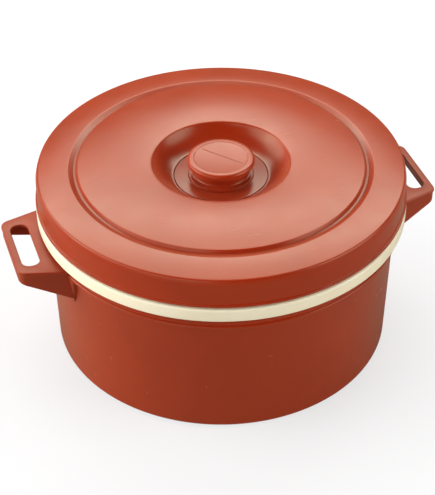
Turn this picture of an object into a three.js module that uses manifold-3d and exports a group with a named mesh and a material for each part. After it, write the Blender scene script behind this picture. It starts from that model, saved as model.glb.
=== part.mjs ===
// Insulated rice container: a double-walled tub with a lift-off lid, two tray-shaped handles
// and a central knob. Millimetres, +Z up. The origin is on the floor under the tub's centre,
// and the handles point along +X and -X.

import * as THREE from "three";
import { mergeVertices } from "three/addons/utils/BufferGeometryUtils.js";
import Module from "manifold-3d";

// Counts
const ROUND_SIDES = 48;
const KNOB_SIDES = 32;
const SMALL_SIDES = 12;
const CORNER_STEPS = 3;
const PLAN_CORNER_STEPS = 2;
const CURVE_STEPS = 5;

// Clearances
const SEAT_GAP = 0.3;
const OVERRUN = 6;

// Outer shell of the tub
const COLLAR_RADIUS = 192.5;
const COLLAR_STEP = 5.9;
const COLLAR_BAND = 14.5;
const COLLAR_EDGE = 1;
const BODY_TAPER = 3.4;
const SHELL_WALL = 3.2;
const BASE_CORNER_RADIUS = 4.5;
const BASE_RECESS = 4;
const FOOT_RING_SET_BACK = 4.6;
const FOOT_RING_WIDTH = 8;
const FOOT_RING_HEIGHT = 1.6;

// Inner pot and its rim
const POT_WALL = 3;
const POT_SET_BACK = 29.5;
const POT_TAPER = 5;
const POT_CORNER_RADIUS = 22;
const BASE_INSULATION = 21.5;
const RIM_HEIGHT = 171.5;
const RIM_SKIRT_WALL = 4.5;
const RIM_SKIRT_DEPTH = 14.4;
const RIM_EDGE_RADIUS = 2.4;
const MOUTH_EDGE_RADIUS = 2;

// Foam ports in the base
const PORT_RADIUS = 9;
const PORT_PLACE_SHARE = 0.655;
const PLUG_FLANGE_WIDTH = 2.5;
const PLUG_FLANGE_THICKNESS = 1.4;

// Handles
const HANDLE_REACH = 40.2;
const HANDLE_DROP = 20.7;
const HANDLE_TIP_HALF_WIDTH = 45.5;
const HANDLE_FLARE_SHARE = 0.26;
const HANDLE_CORNER_RADIUS = 10;
const HANDLE_PLATE = 3.2;
const HANDLE_WALL = 3;
const HANDLE_LIP = 1;
const HANDLE_TIP_DEPTH = 13.8;
const HANDLE_SLOPE_SHARE = 0.43;
const SLOT_WIDTH = 18.8;
const SLOT_TIP_MARGIN = 7.8;
const SLOT_SIDE_MARGIN = 9.8;
const SLOT_CORNER_RADIUS = 7;
const ROOT_PAD_SPREAD = 19;
const ROOT_PAD_FOOT_SPREAD = 9.5;
const ROOT_PAD_THICKNESS = 5;
const ROOT_PAD_FOOT_THICKNESS = 0.8;
const ROOT_PAD_DEPTH = 36;

// Handle screws, driven from inside the shell before the foam goes in
const SCREW_FACET = 1;
const SCREW_DROP = 11.5;
const SCREW_RADIUS = 2;
const SCREW_GRIP = 11;
const SCREW_HEAD_RADIUS = 4;
const SCREW_HEAD_HEIGHT = 2.6;
const WASHER_RADIUS = 5.2;
const WASHER_THICKNESS = 1;
const BOSS_RADIUS = 5.5;
const BOSS_END_WALL = 2;

// Lid shell
const LID_SET_BACK = 1.9;
const LID_LIP_REACH = 1.8;
const LID_LIP_HEIGHT = 4.2;
const LID_LIP_EDGE = 0.8;
const LID_GAP = 2.9;
const LID_DEPTH = 34.4;
const LID_WALL = 3;
const LID_SHOULDER_RADIUS = 6.5;
const LID_BAND_FALL = 0.6;
const LID_BAND_WIDTH = 42.4;
const CREASE_DEPTH = 2.6;
const CREASE_RUN = 8;
const STEP_RUN = 1.6;
const STEP_RISE = 3.9;
const DOME_RISE = 2.2;
const DOME_FALL_WIDTH = 46.5;
const WELL_RADIUS = 71.2;
const WELL_RIM_RADIUS = 3;
const WELL_DEPTH = 14.9;
const WELL_WALL_WIDTH = 18.9;
const WELL_BOWL_RADIUS = 40;
const WELL_LEDGE_WIDTH = 2.1;

// Knob
const KNOB_DISC_THICKNESS = 3;
const KNOB_DISC_SEAM = 0.7;
const KNOB_CAP_RADIUS = 35.7;
const KNOB_CAP_THICKNESS = 6.6;
const KNOB_CAP_EDGE_RADIUS = 4.8;
const KNOB_FACE_STEP = 0.4;
const KNOB_FACE_MARGIN = 7.3;
const KNOB_HEIGHT = 21.6;
const KNOB_GRIP_DEPTH = 7.7;
const KNOB_FOOT_WIDTH = 6.7;
const KNOB_FOOT_HEIGHT = 2.4;
const KNOB_FOOT_FILLET = 3.4;
const KNOB_WALL = 3.5;
const KNOB_BOSS_RADIUS = 8.5;

// Knob fixing: a brass insert moulded into the knob's boss and a bolt from below
const INSERT_RADIUS = 5;
const INSERT_LENGTH = 12;
const BOLT_RADIUS = 3;
const BOLT_END_SPACE = 1.5;
const BOLT_HEAD_RADIUS = 5;
const BOLT_HEAD_HEIGHT = 4;
const BOLT_WASHER_RADIUS = 9;
const BOLT_WASHER_THICKNESS = 1.6;

// Lid liner, the pale underside that plugs the pot's mouth
const LINER_WALL = 2.6;
const LINER_SET_BACK = 1;
const LINER_UPSTAND = 9;
const LINER_PLUG_CLEARANCE = 2.6;
const LINER_PLUG_DEPTH = 23.4;
const LINER_PLUG_CORNER_RADIUS = 6;
const SEAL_WIDTH = 11.5;
const SEAL_BEAD = 1.1;

// Radii and lengths worked out from the sizes above
const BODY_RADIUS_HIGH = COLLAR_RADIUS - COLLAR_STEP;
const BODY_RADIUS_LOW = BODY_RADIUS_HIGH - BODY_TAPER;
const FOOT_RING_RADIUS = BODY_RADIUS_LOW - FOOT_RING_SET_BACK;
const POT_MOUTH_RADIUS = COLLAR_RADIUS - POT_SET_BACK;
const POT_FLOOR_RADIUS = POT_MOUTH_RADIUS - POT_TAPER;
const RIM_RADIUS = COLLAR_RADIUS + SEAT_GAP + RIM_SKIRT_WALL;
const PORT_PLACE_RADIUS = BODY_RADIUS_LOW * PORT_PLACE_SHARE;
const HANDLE_TIP = COLLAR_RADIUS + HANDLE_REACH;
const HANDLE_HEIGHT = RIM_HEIGHT - HANDLE_DROP;
const SLOT_INNER = HANDLE_TIP - SLOT_TIP_MARGIN - SLOT_WIDTH;
const SLOT_LENGTH = 2 * (HANDLE_TIP_HALF_WIDTH - SLOT_SIDE_MARGIN);
const ROOT_PAD_HALF_WIDTH = HANDLE_TIP_HALF_WIDTH + ROOT_PAD_SPREAD;
const ROOT_PAD_FOOT_HALF_WIDTH = HANDLE_TIP_HALF_WIDTH + ROOT_PAD_FOOT_SPREAD;
const LID_RADIUS = RIM_RADIUS - LID_SET_BACK;
const LID_LIP_RADIUS = LID_RADIUS + LID_LIP_REACH;
const CREASE_RADIUS = LID_RADIUS - LID_BAND_WIDTH;
const DOME_EDGE_RADIUS = CREASE_RADIUS - STEP_RUN;
const DOME_CREST_RADIUS = DOME_EDGE_RADIUS - DOME_FALL_WIDTH;
const WELL_CORNER_RADIUS = WELL_RADIUS + WELL_RIM_RADIUS;
const WELL_FLOOR_RADIUS = WELL_RADIUS - WELL_WALL_WIDTH;
const REBATE_RADIUS = WELL_FLOOR_RADIUS - WELL_LEDGE_WIDTH;
const KNOB_DISC_RADIUS = REBATE_RADIUS - KNOB_DISC_SEAM;
const KNOB_WAIST_RADIUS = KNOB_CAP_RADIUS - KNOB_GRIP_DEPTH;
const KNOB_FOOT_RADIUS = KNOB_WAIST_RADIUS + KNOB_FOOT_WIDTH;
const KNOB_FACE_RADIUS = KNOB_CAP_RADIUS - KNOB_FACE_MARGIN;
const LINER_PLUG_RADIUS = POT_MOUTH_RADIUS - LINER_PLUG_CLEARANCE;
const LINER_RADIUS = LID_RADIUS - LID_WALL - SEAT_GAP;

// Heights worked out from the sizes above
const SHELL_FLOOR_TOP = BASE_RECESS + SHELL_WALL;
const POT_UNDERSIDE = SHELL_FLOOR_TOP + BASE_INSULATION + 2 * SEAT_GAP;
const POT_FLOOR = POT_UNDERSIDE + POT_WALL;
const RIM_SKIRT_BOTTOM = RIM_HEIGHT - RIM_SKIRT_DEPTH;
const RIM_DECK_UNDERSIDE = RIM_HEIGHT - POT_WALL;
const SHELL_TOP = RIM_DECK_UNDERSIDE - SEAT_GAP;
const COLLAR_BOTTOM = RIM_SKIRT_BOTTOM - COLLAR_BAND;
const BODY_CORNER_TOP = FOOT_RING_HEIGHT + BASE_CORNER_RADIUS;
const LID_BOTTOM = RIM_HEIGHT + LID_GAP;
const LID_BAND_HEIGHT = LID_BOTTOM + LID_DEPTH;
const LID_SHOULDER_HEIGHT = LID_BAND_HEIGHT - LID_BAND_FALL;
const CREASE_HEIGHT = LID_BAND_HEIGHT - CREASE_DEPTH;
const DOME_EDGE_HEIGHT = CREASE_HEIGHT + STEP_RISE;
const DOME_CREST_HEIGHT = DOME_EDGE_HEIGHT + DOME_RISE;
const WELL_WALL_TOP = domeHeight(WELL_CORNER_RADIUS) - WELL_RIM_RADIUS;
const WELL_FLOOR = WELL_WALL_TOP - WELL_DEPTH;
const REBATE_FLOOR = WELL_FLOOR - KNOB_DISC_THICKNESS - SEAT_GAP;
const LID_CENTRE_UNDERSIDE = REBATE_FLOOR - LID_WALL;
const KNOB_TOP = WELL_FLOOR + KNOB_HEIGHT;
const KNOB_DISC_UNDERSIDE = WELL_FLOOR - KNOB_DISC_THICKNESS;
const LINER_DECK_UNDERSIDE = LID_BOTTOM + LINER_SET_BACK;
const LINER_DECK_TOP = LINER_DECK_UNDERSIDE + LINER_WALL;
const LINER_PLUG_BOTTOM = LINER_DECK_UNDERSIDE - LINER_PLUG_DEPTH;

const PLASTIC_RED = { color: 0xb5492f, roughness: 0.36, metalness: 0 };
const PLASTIC_CREAM = { color: 0xf1e6c8, roughness: 0.4, metalness: 0 };
const FOAM = { color: 0xe6d9a8, roughness: 0.95, metalness: 0 };
const SILICONE = { color: 0xe9e6de, roughness: 0.6, metalness: 0 };
const STAINLESS = { color: 0xc8c8c6, roughness: 0.3, metalness: 1 };
const BRASS = { color: 0xc9a45a, roughness: 0.35, metalness: 1 };

const wasm = await Module();
wasm.setup();

const container = new THREE.Group();

function addPiece(name, geometry, finish) {
  const mesh = new THREE.Mesh(geometry, new THREE.MeshStandardMaterial(finish));
  mesh.name = name;
  container.add(mesh);
  return mesh;
}

// A closed geometry as a solid that can be joined and cut.
function solidOf(geometry) {
  const bare = geometry.clone();
  bare.deleteAttribute("normal");
  bare.deleteAttribute("uv");
  const merged = mergeVertices(bare);
  return new wasm.Manifold(
    new wasm.Mesh({
      numProp: 3,
      vertProperties: new Float32Array(merged.attributes.position.array),
      triVerts: new Uint32Array(merged.index.array),
    }),
  );
}

function geometryOf(solid) {
  const mesh = solid.getMesh();
  const geometry = new THREE.BufferGeometry();
  geometry.setAttribute("position", new THREE.BufferAttribute(mesh.vertProperties, mesh.numProp));
  geometry.setIndex(new THREE.BufferAttribute(mesh.triVerts, 1));
  geometry.computeVertexNormals();
  return geometry;
}

// A piece turned about the Z axis. The profile is a list of [radius, height], anticlockwise.
function turned(profile, sides = ROUND_SIDES) {
  const points = profile.map(([radius, height]) => new THREE.Vector2(radius, height));
  return new THREE.LatheGeometry(points, sides).rotateX(Math.PI / 2);
}

// A turned ring or sleeve whose profile closes on itself.
function turnedRing(profile, sides = ROUND_SIDES) {
  return turned([...profile, profile[0]], sides);
}

// Points on an arc of a profile, both ends included. Angles are in quarter turns from outward.
function arc(radius, height, width, rise, fromQuarter, toQuarter, steps = CORNER_STEPS) {
  const points = [];
  for (let i = 0; i <= steps; i++) {
    const angle = ((fromQuarter + ((toQuarter - fromQuarter) * i) / steps) * Math.PI) / 2;
    points.push([radius + width * Math.cos(angle), height + rise * Math.sin(angle)]);
  }
  return points;
}

// A flat outline given a thickness upwards from a height.
function slab(shape, height, thickness) {
  const settings = { depth: thickness, bevelEnabled: false, curveSegments: PLAN_CORNER_STEPS };
  return new THREE.ExtrudeGeometry(shape, settings).translate(0, 0, height);
}

// A short round bar lying along a radial line, from one distance off the Z axis to another.
function radialBar(radius, from, to, angle, height, sides = SMALL_SIDES) {
  const bar = new THREE.CylinderGeometry(radius, radius, to - from, sides);
  bar.rotateZ(-Math.PI / 2);
  bar.translate((from + to) / 2, 0, height);
  return bar.rotateZ(angle);
}

// Outer radius of the tapered wall of the tub at a height.
function bodyRadiusAt(height) {
  const share = (height - BODY_CORNER_TOP) / (COLLAR_BOTTOM - BODY_CORNER_TOP);
  return BODY_RADIUS_LOW + (BODY_RADIUS_HIGH - BODY_RADIUS_LOW) * share;
}

// Height of the lid's gently domed disc at a radius.
function domeHeight(radius) {
  const share = (radius - DOME_CREST_RADIUS) / (DOME_EDGE_RADIUS - DOME_CREST_RADIUS);
  return DOME_CREST_HEIGHT - DOME_RISE * share * share;
}

// The bowl-shaped wall of the well, from its top to the floor, or a line a given offset under it.
function wellWall(offset) {
  const slope = Math.atan2(WELL_DEPTH, WELL_WALL_WIDTH);
  const bend = Math.asin(Math.hypot(WELL_DEPTH, WELL_WALL_WIDTH) / 2 / WELL_BOWL_RADIUS);
  const centreRadius = WELL_RADIUS - WELL_BOWL_RADIUS * Math.sin(slope + bend);
  const centreHeight = WELL_WALL_TOP + WELL_BOWL_RADIUS * Math.cos(slope + bend);
  const bowl = WELL_BOWL_RADIUS + offset;
  const top = ((slope + bend) * 2) / Math.PI - 1;
  const bottom = ((slope - bend) * 2) / Math.PI - 1;
  return arc(centreRadius, centreHeight, bowl, bowl, top, bottom, CURVE_STEPS);
}

// Inner radius of the pot's tapered wall at a height.
function potRadiusAt(height) {
  const low = POT_FLOOR + POT_CORNER_RADIUS;
  const share = (height - low) / (RIM_HEIGHT - low);
  return POT_FLOOR_RADIUS + (POT_MOUTH_RADIUS - POT_FLOOR_RADIUS) * share;
}

// Radius on which a handle screw's head and washer bear: the flat inside face of the shell's wall.
const FLAT_SHARE = Math.cos(Math.PI / ROUND_SIDES);
const SCREW_ANGLE = ((SCREW_FACET + 1 / 2) * 2 * Math.PI) / ROUND_SIDES;
const SCREW_HEIGHT = COLLAR_BOTTOM - SCREW_DROP;
const SCREW_SEAT = (bodyRadiusAt(SCREW_HEIGHT - WASHER_RADIUS) - SHELL_WALL) * FLAT_SHARE;
const SCREW_SIDES = [-1, 1];

// Tub: the coloured outer shell
function outerShell() {
  const footInner = FOOT_RING_RADIUS - FOOT_RING_WIDTH;
  const cornerCentre = BODY_RADIUS_LOW - BASE_CORNER_RADIUS;
  const profile = [
    [0, BASE_RECESS],
    [footInner, BASE_RECESS],
    [footInner, 0],
    [FOOT_RING_RADIUS - FOOT_RING_HEIGHT / 2, 0],
    [FOOT_RING_RADIUS, FOOT_RING_HEIGHT],
    ...arc(cornerCentre, BODY_CORNER_TOP, BASE_CORNER_RADIUS, BASE_CORNER_RADIUS, -1, 0),
    [BODY_RADIUS_HIGH, COLLAR_BOTTOM],
    [COLLAR_RADIUS - COLLAR_EDGE, COLLAR_BOTTOM],
    [COLLAR_RADIUS, COLLAR_BOTTOM + COLLAR_EDGE],
    [COLLAR_RADIUS, SHELL_TOP],
    [COLLAR_RADIUS - SHELL_WALL, SHELL_TOP],
    [COLLAR_RADIUS - SHELL_WALL, COLLAR_BOTTOM + SHELL_WALL + COLLAR_EDGE],
    [BODY_RADIUS_HIGH - SHELL_WALL, COLLAR_BOTTOM + SHELL_WALL],
    [BODY_RADIUS_LOW - SHELL_WALL, BODY_CORNER_TOP + SHELL_WALL],
    [BODY_RADIUS_LOW - SHELL_WALL - BASE_CORNER_RADIUS / 2, SHELL_FLOOR_TOP],
    [0, SHELL_FLOOR_TOP],
  ];
  let shell = solidOf(turned(profile));
  for (const place of portPlaces()) {
    const hole = new THREE.CylinderGeometry(PORT_RADIUS, PORT_RADIUS, OVERRUN * 2, SMALL_SIDES);
    hole.rotateX(Math.PI / 2);
    hole.translate(place.x, place.y, SHELL_FLOOR_TOP);
    shell = shell.subtract(solidOf(hole));
  }
  for (const angle of screwAngles()) {
    const from = SCREW_SEAT - OVERRUN;
    const to = BODY_RADIUS_HIGH + OVERRUN;
    const hole = radialBar(SCREW_RADIUS + SEAT_GAP, from, to, angle, SCREW_HEIGHT);
    shell = shell.subtract(solidOf(hole));
  }
  return geometryOf(shell);
}

// Places of the two foam ports in the base, front and back.
function portPlaces() {
  return [new THREE.Vector2(0, -PORT_PLACE_RADIUS), new THREE.Vector2(0, PORT_PLACE_RADIUS)];
}

// Directions of the four handle screws, seen from above.
function screwAngles() {
  return [0, Math.PI].flatMap((handle) => SCREW_SIDES.map((side) => handle + side * SCREW_ANGLE));
}

// A port's plug: a stem that fills the hole and a flange in the recess of the base.
function portPlug(place) {
  const flangeTop = BASE_RECESS - SEAT_GAP;
  const stemRadius = PORT_RADIUS - SEAT_GAP;
  const profile = [
    [0, flangeTop - PLUG_FLANGE_THICKNESS],
    [PORT_RADIUS + PLUG_FLANGE_WIDTH, flangeTop - PLUG_FLANGE_THICKNESS],
    [PORT_RADIUS + PLUG_FLANGE_WIDTH, flangeTop],
    [stemRadius, flangeTop],
    [stemRadius, SHELL_FLOOR_TOP],
    [0, SHELL_FLOOR_TOP],
  ];
  return turned(profile, SMALL_SIDES).translate(place.x, place.y, 0);
}

// Tub: the pale inner pot, whose rim folds over the shell's top edge
function innerPot() {
  const skirtInner = COLLAR_RADIUS + SEAT_GAP;
  const cornerCentre = POT_FLOOR_RADIUS - POT_CORNER_RADIUS;
  const cornerHeight = POT_FLOOR + POT_CORNER_RADIUS;
  const outerCorner = POT_CORNER_RADIUS + POT_WALL;
  const edgeCentre = RIM_RADIUS - RIM_EDGE_RADIUS;
  const edgeHeight = RIM_HEIGHT - RIM_EDGE_RADIUS;
  const mouthCentre = POT_MOUTH_RADIUS + MOUTH_EDGE_RADIUS;
  const mouthHeight = RIM_HEIGHT - MOUTH_EDGE_RADIUS;
  return turned([
    [0, POT_UNDERSIDE],
    ...arc(cornerCentre, cornerHeight, outerCorner, outerCorner, -1, 0, CURVE_STEPS),
    [potRadiusAt(RIM_DECK_UNDERSIDE) + POT_WALL, RIM_DECK_UNDERSIDE],
    [skirtInner, RIM_DECK_UNDERSIDE],
    [skirtInner, RIM_SKIRT_BOTTOM],
    [RIM_RADIUS - MOUTH_EDGE_RADIUS / 2, RIM_SKIRT_BOTTOM],
    [RIM_RADIUS, RIM_SKIRT_BOTTOM + MOUTH_EDGE_RADIUS / 2],
    ...arc(edgeCentre, edgeHeight, RIM_EDGE_RADIUS, RIM_EDGE_RADIUS, 0, 1),
    ...arc(mouthCentre, mouthHeight, MOUTH_EDGE_RADIUS, MOUTH_EDGE_RADIUS, 1, 2),
    ...arc(cornerCentre, cornerHeight, POT_CORNER_RADIUS, POT_CORNER_RADIUS, 0, -1, CURVE_STEPS),
    [0, POT_FLOOR],
  ]);
}

// Tub: the foam that fills the space between the shell and the pot
function bodyInsulation() {
  const inset = SHELL_WALL + SEAT_GAP;
  const floor = SHELL_FLOOR_TOP + SEAT_GAP;
  const cornerCentre = POT_FLOOR_RADIUS - POT_CORNER_RADIUS;
  const cornerHeight = POT_FLOOR + POT_CORNER_RADIUS;
  const corner = POT_CORNER_RADIUS + POT_WALL + SEAT_GAP;
  const shoulder = COLLAR_BOTTOM + SHELL_WALL + COLLAR_EDGE + SEAT_GAP;
  const profile = [
    [0, floor],
    [BODY_RADIUS_LOW - inset - BASE_CORNER_RADIUS / 2, floor],
    [BODY_RADIUS_LOW - inset, BODY_CORNER_TOP + SHELL_WALL + SEAT_GAP],
    [BODY_RADIUS_HIGH - inset, COLLAR_BOTTOM + SHELL_WALL + SEAT_GAP],
    [COLLAR_RADIUS - inset, shoulder],
    [COLLAR_RADIUS - inset, SHELL_TOP],
    [potRadiusAt(SHELL_TOP) + POT_WALL + SEAT_GAP, SHELL_TOP],
    ...arc(cornerCentre, cornerHeight, corner, corner, 0, -1, CURVE_STEPS),
    [0, POT_UNDERSIDE - SEAT_GAP],
  ];
  let foam = solidOf(turned(profile));
  const pocketDepth = WASHER_THICKNESS + SCREW_HEAD_HEIGHT + 3 * SEAT_GAP;
  for (const angle of screwAngles()) {
    const from = SCREW_SEAT - pocketDepth;
    const to = SCREW_SEAT + OVERRUN;
    const pocket = radialBar(WASHER_RADIUS + SEAT_GAP, from, to, angle, SCREW_HEIGHT);
    foam = foam.subtract(solidOf(pocket));
  }
  return geometryOf(foam);
}

// Outline of the handle's plate, or of a line a given inset inside it, seen from above. The handle
// points along +X, and the plate's inner end is left inside the tub to be cut to its wall.
function handleOutline(inset) {
  const slant = Math.hypot(1, HANDLE_FLARE_SHARE);
  const tip = HANDLE_TIP - inset;
  const radius = HANDLE_CORNER_RADIUS - inset;
  const halfWidthAt = (x) =>
    HANDLE_TIP_HALF_WIDTH + HANDLE_FLARE_SHARE * (HANDLE_TIP - x) - inset * slant;
  const centreX = tip - radius;
  const centreY = halfWidthAt(tip) + radius * HANDLE_FLARE_SHARE - radius * slant;
  const sideAngle = Math.atan2(1, HANDLE_FLARE_SHARE);
  const innerX = BODY_RADIUS_LOW - ROOT_PAD_HALF_WIDTH / 2;
  const shape = new THREE.Shape();
  shape.absarc(centreX, -centreY, radius, -sideAngle, 0, false);
  shape.absarc(centreX, centreY, radius, 0, sideAngle, false);
  shape.lineTo(innerX, halfWidthAt(innerX));
  shape.lineTo(innerX, -halfWidthAt(innerX));
  shape.closePath();
  return shape;
}

// The finger slot's outline, a rectangle with round corners.
function slotOutline() {
  const low = SLOT_INNER + SLOT_CORNER_RADIUS;
  const high = SLOT_INNER + SLOT_WIDTH - SLOT_CORNER_RADIUS;
  const side = SLOT_LENGTH / 2 - SLOT_CORNER_RADIUS;
  const quarter = Math.PI / 2;
  const shape = new THREE.Shape();
  shape.absarc(low, -side, SLOT_CORNER_RADIUS, 2 * quarter, 3 * quarter, false);
  shape.absarc(high, -side, SLOT_CORNER_RADIUS, 3 * quarter, 4 * quarter, false);
  shape.absarc(high, side, SLOT_CORNER_RADIUS, 0, quarter, false);
  shape.absarc(low, side, SLOT_CORNER_RADIUS, quarter, 2 * quarter, false);
  shape.closePath();
  return shape;
}

// The side view of the tray, deeper towards the tub, as a solid as wide as the handle and more.
function handleSideView() {
  const innerX = BODY_RADIUS_LOW - ROOT_PAD_HALF_WIDTH / 2;
  const width = 4 * ROOT_PAD_HALF_WIDTH;
  const bottomAt = (x) =>
    HANDLE_HEIGHT - HANDLE_TIP_DEPTH - HANDLE_SLOPE_SHARE * (HANDLE_TIP - x);
  const shape = new THREE.Shape();
  shape.moveTo(innerX, bottomAt(innerX));
  shape.lineTo(HANDLE_TIP, bottomAt(HANDLE_TIP));
  shape.lineTo(HANDLE_TIP, HANDLE_HEIGHT);
  shape.lineTo(innerX, HANDLE_HEIGHT);
  shape.closePath();
  const view = new THREE.ExtrudeGeometry(shape, { depth: width, bevelEnabled: false });
  return view.rotateX(Math.PI / 2).translate(0, width / 2, 0);
}

// The space that the shell takes, with the seat gap round it, for cutting the handles to fit.
function shellSpace() {
  const ledge = COLLAR_BOTTOM - SEAT_GAP;
  return solidOf(
    turned([
      [0, 0],
      [BODY_RADIUS_LOW + SEAT_GAP, 0],
      [BODY_RADIUS_LOW + SEAT_GAP, BODY_CORNER_TOP],
      [BODY_RADIUS_HIGH + SEAT_GAP, ledge],
      [COLLAR_RADIUS + SEAT_GAP, ledge],
      [COLLAR_RADIUS + SEAT_GAP, RIM_HEIGHT],
      [0, RIM_HEIGHT],
    ]),
  );
}

// The wedge-shaped pad under the collar that spreads the handle's pull over the wall.
function handleRootPad() {
  const top = COLLAR_BOTTOM - SEAT_GAP;
  const foot = top - ROOT_PAD_DEPTH;
  const ring = turnedRing([
    [bodyRadiusAt(foot) - OVERRUN, foot],
    [bodyRadiusAt(foot) + ROOT_PAD_FOOT_THICKNESS + SEAT_GAP, foot],
    [BODY_RADIUS_HIGH + ROOT_PAD_THICKNESS, top],
    [BODY_RADIUS_HIGH - OVERRUN, top],
  ]);
  const front = new THREE.Shape();
  front.moveTo(-ROOT_PAD_FOOT_HALF_WIDTH, foot - SEAT_GAP);
  front.lineTo(ROOT_PAD_FOOT_HALF_WIDTH, foot - SEAT_GAP);
  front.lineTo(ROOT_PAD_HALF_WIDTH, top + SEAT_GAP);
  front.lineTo(-ROOT_PAD_HALF_WIDTH, top + SEAT_GAP);
  front.closePath();
  const settings = { depth: BODY_RADIUS_HIGH + 2 * OVERRUN, bevelEnabled: false };
  const sector = new THREE.ExtrudeGeometry(front, settings);
  sector.rotateX(Math.PI / 2).rotateZ(Math.PI / 2);
  return solidOf(ring).intersect(solidOf(sector));
}

// One handle: an upside-down tray with a finger slot, its root pad and its two screw bosses
function handleSolid() {
  const plateUnderside = HANDLE_HEIGHT - HANDLE_PLATE;
  const skirtDepth = HANDLE_HEIGHT - HANDLE_PLATE / 2;
  const skirtOuter = solidOf(slab(handleOutline(HANDLE_LIP), 0, skirtDepth));
  const skirtInner = solidOf(
    slab(handleOutline(HANDLE_LIP + HANDLE_WALL), -OVERRUN, skirtDepth + 2 * OVERRUN),
  );
  const plate = solidOf(slab(handleOutline(0), plateUnderside, HANDLE_PLATE));
  const slot = solidOf(slab(slotOutline(), plateUnderside - OVERRUN, 4 * OVERRUN));
  let handle = skirtOuter
    .subtract(skirtInner)
    .intersect(solidOf(handleSideView()))
    .add(plate)
    .subtract(slot)
    .add(handleRootPad());
  const bossFrom = SCREW_SEAT;
  const bossTo = SCREW_SEAT + SHELL_WALL + SCREW_GRIP + BOSS_END_WALL;
  for (const side of SCREW_SIDES) {
    const angle = side * SCREW_ANGLE;
    handle = handle.add(solidOf(radialBar(BOSS_RADIUS, bossFrom, bossTo, angle, SCREW_HEIGHT)));
  }
  handle = handle.subtract(shellSpace());
  for (const side of SCREW_SIDES) {
    const to = bossTo - BOSS_END_WALL + SEAT_GAP;
    const hole = radialBar(SCREW_RADIUS + SEAT_GAP, bossFrom, to, side * SCREW_ANGLE, SCREW_HEIGHT);
    handle = handle.subtract(solidOf(hole));
  }
  return handle;
}

// A pan-head screw for a handle, pointing away from the Z axis along its own direction.
function handleScrew(angle) {
  const headFrom = SCREW_SEAT - WASHER_THICKNESS - SCREW_HEAD_HEIGHT - 2 * SEAT_GAP;
  const headTo = headFrom + SCREW_HEAD_HEIGHT;
  const tip = SCREW_SEAT + SHELL_WALL + SCREW_GRIP;
  const profile = [
    [0, headFrom],
    [SCREW_HEAD_RADIUS / 2, headFrom],
    [SCREW_HEAD_RADIUS, headFrom + SCREW_HEAD_HEIGHT / 2],
    [SCREW_HEAD_RADIUS, headTo],
    [SCREW_RADIUS, headTo],
    [SCREW_RADIUS, tip - SCREW_RADIUS],
    [0, tip],
  ];
  const screw = turned(profile, SMALL_SIDES).rotateY(Math.PI / 2);
  return screw.translate(0, 0, SCREW_HEIGHT).rotateZ(angle);
}

// A flat washer between a handle screw's head and the shell's wall.
function handleWasher(angle) {
  const from = SCREW_SEAT - WASHER_THICKNESS - SEAT_GAP;
  const washer = turnedRing(
    [
      [SCREW_RADIUS + SEAT_GAP, from],
      [WASHER_RADIUS, from],
      [WASHER_RADIUS, from + WASHER_THICKNESS],
      [SCREW_RADIUS + SEAT_GAP, from + WASHER_THICKNESS],
    ],
    SMALL_SIDES,
  );
  return washer.rotateY(Math.PI / 2).translate(0, 0, SCREW_HEIGHT).rotateZ(angle);
}

// Underside of the lid's shell from the middle outwards. An inset draws it in to make room for foam.
function lidUnderside(inset) {
  const shoulderHeight = LID_SHOULDER_HEIGHT - LID_SHOULDER_RADIUS;
  const corner = LID_SHOULDER_RADIUS - LID_WALL - inset;
  const wall = LID_WALL + inset;
  const domeStart = WELL_CORNER_RADIUS + LID_WALL / 2;
  const domeEnd = DOME_EDGE_RADIUS - LID_WALL;
  const dome = [];
  for (let i = 0; i <= CURVE_STEPS; i++) {
    const radius = domeStart + ((domeEnd - domeStart) * i) / CURVE_STEPS;
    dome.push([radius, domeHeight(radius) - wall]);
  }
  return [
    [REBATE_RADIUS + wall, LID_CENTRE_UNDERSIDE - inset],
    ...wellWall(wall).reverse(),
    ...dome,
    [CREASE_RADIUS, CREASE_HEIGHT - wall],
    [CREASE_RADIUS + CREASE_RUN, LID_BAND_HEIGHT - wall],
    ...arc(LID_RADIUS - LID_SHOULDER_RADIUS, shoulderHeight, corner, corner, 1, 0),
  ];
}

// Lid: the coloured shell, with its outer band, crease, domed disc and the well for the knob
function lidShell() {
  const shoulderCentre = LID_RADIUS - LID_SHOULDER_RADIUS;
  const shoulderHeight = LID_SHOULDER_HEIGHT - LID_SHOULDER_RADIUS;
  const lipTop = LID_BOTTOM + LID_LIP_HEIGHT;
  const boltHole = BOLT_RADIUS + SEAT_GAP;
  const rim = WELL_RIM_RADIUS;
  const domeTop = [];
  for (let i = 0; i <= CURVE_STEPS; i++) {
    const share = i / CURVE_STEPS;
    const radius = DOME_EDGE_RADIUS + (WELL_CORNER_RADIUS - DOME_EDGE_RADIUS) * share;
    domeTop.push([radius, domeHeight(radius)]);
  }
  return turnedRing([
    [boltHole, LID_CENTRE_UNDERSIDE],
    ...lidUnderside(0),
    [LID_RADIUS - LID_WALL, LID_BOTTOM],
    [LID_LIP_RADIUS - LID_LIP_EDGE, LID_BOTTOM],
    [LID_LIP_RADIUS, LID_BOTTOM + LID_LIP_EDGE],
    [LID_LIP_RADIUS, lipTop - LID_LIP_EDGE],
    [LID_RADIUS, lipTop],
    ...arc(shoulderCentre, shoulderHeight, LID_SHOULDER_RADIUS, LID_SHOULDER_RADIUS, 0, 1),
    [CREASE_RADIUS + CREASE_RUN, LID_BAND_HEIGHT],
    [CREASE_RADIUS, CREASE_HEIGHT],
    ...domeTop,
    ...arc(WELL_CORNER_RADIUS, WELL_WALL_TOP, rim, rim, 1, 2).slice(1, -1),
    ...wellWall(0),
    [REBATE_RADIUS, WELL_FLOOR],
    [REBATE_RADIUS, REBATE_FLOOR],
    [boltHole, REBATE_FLOOR],
  ]);
}

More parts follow.
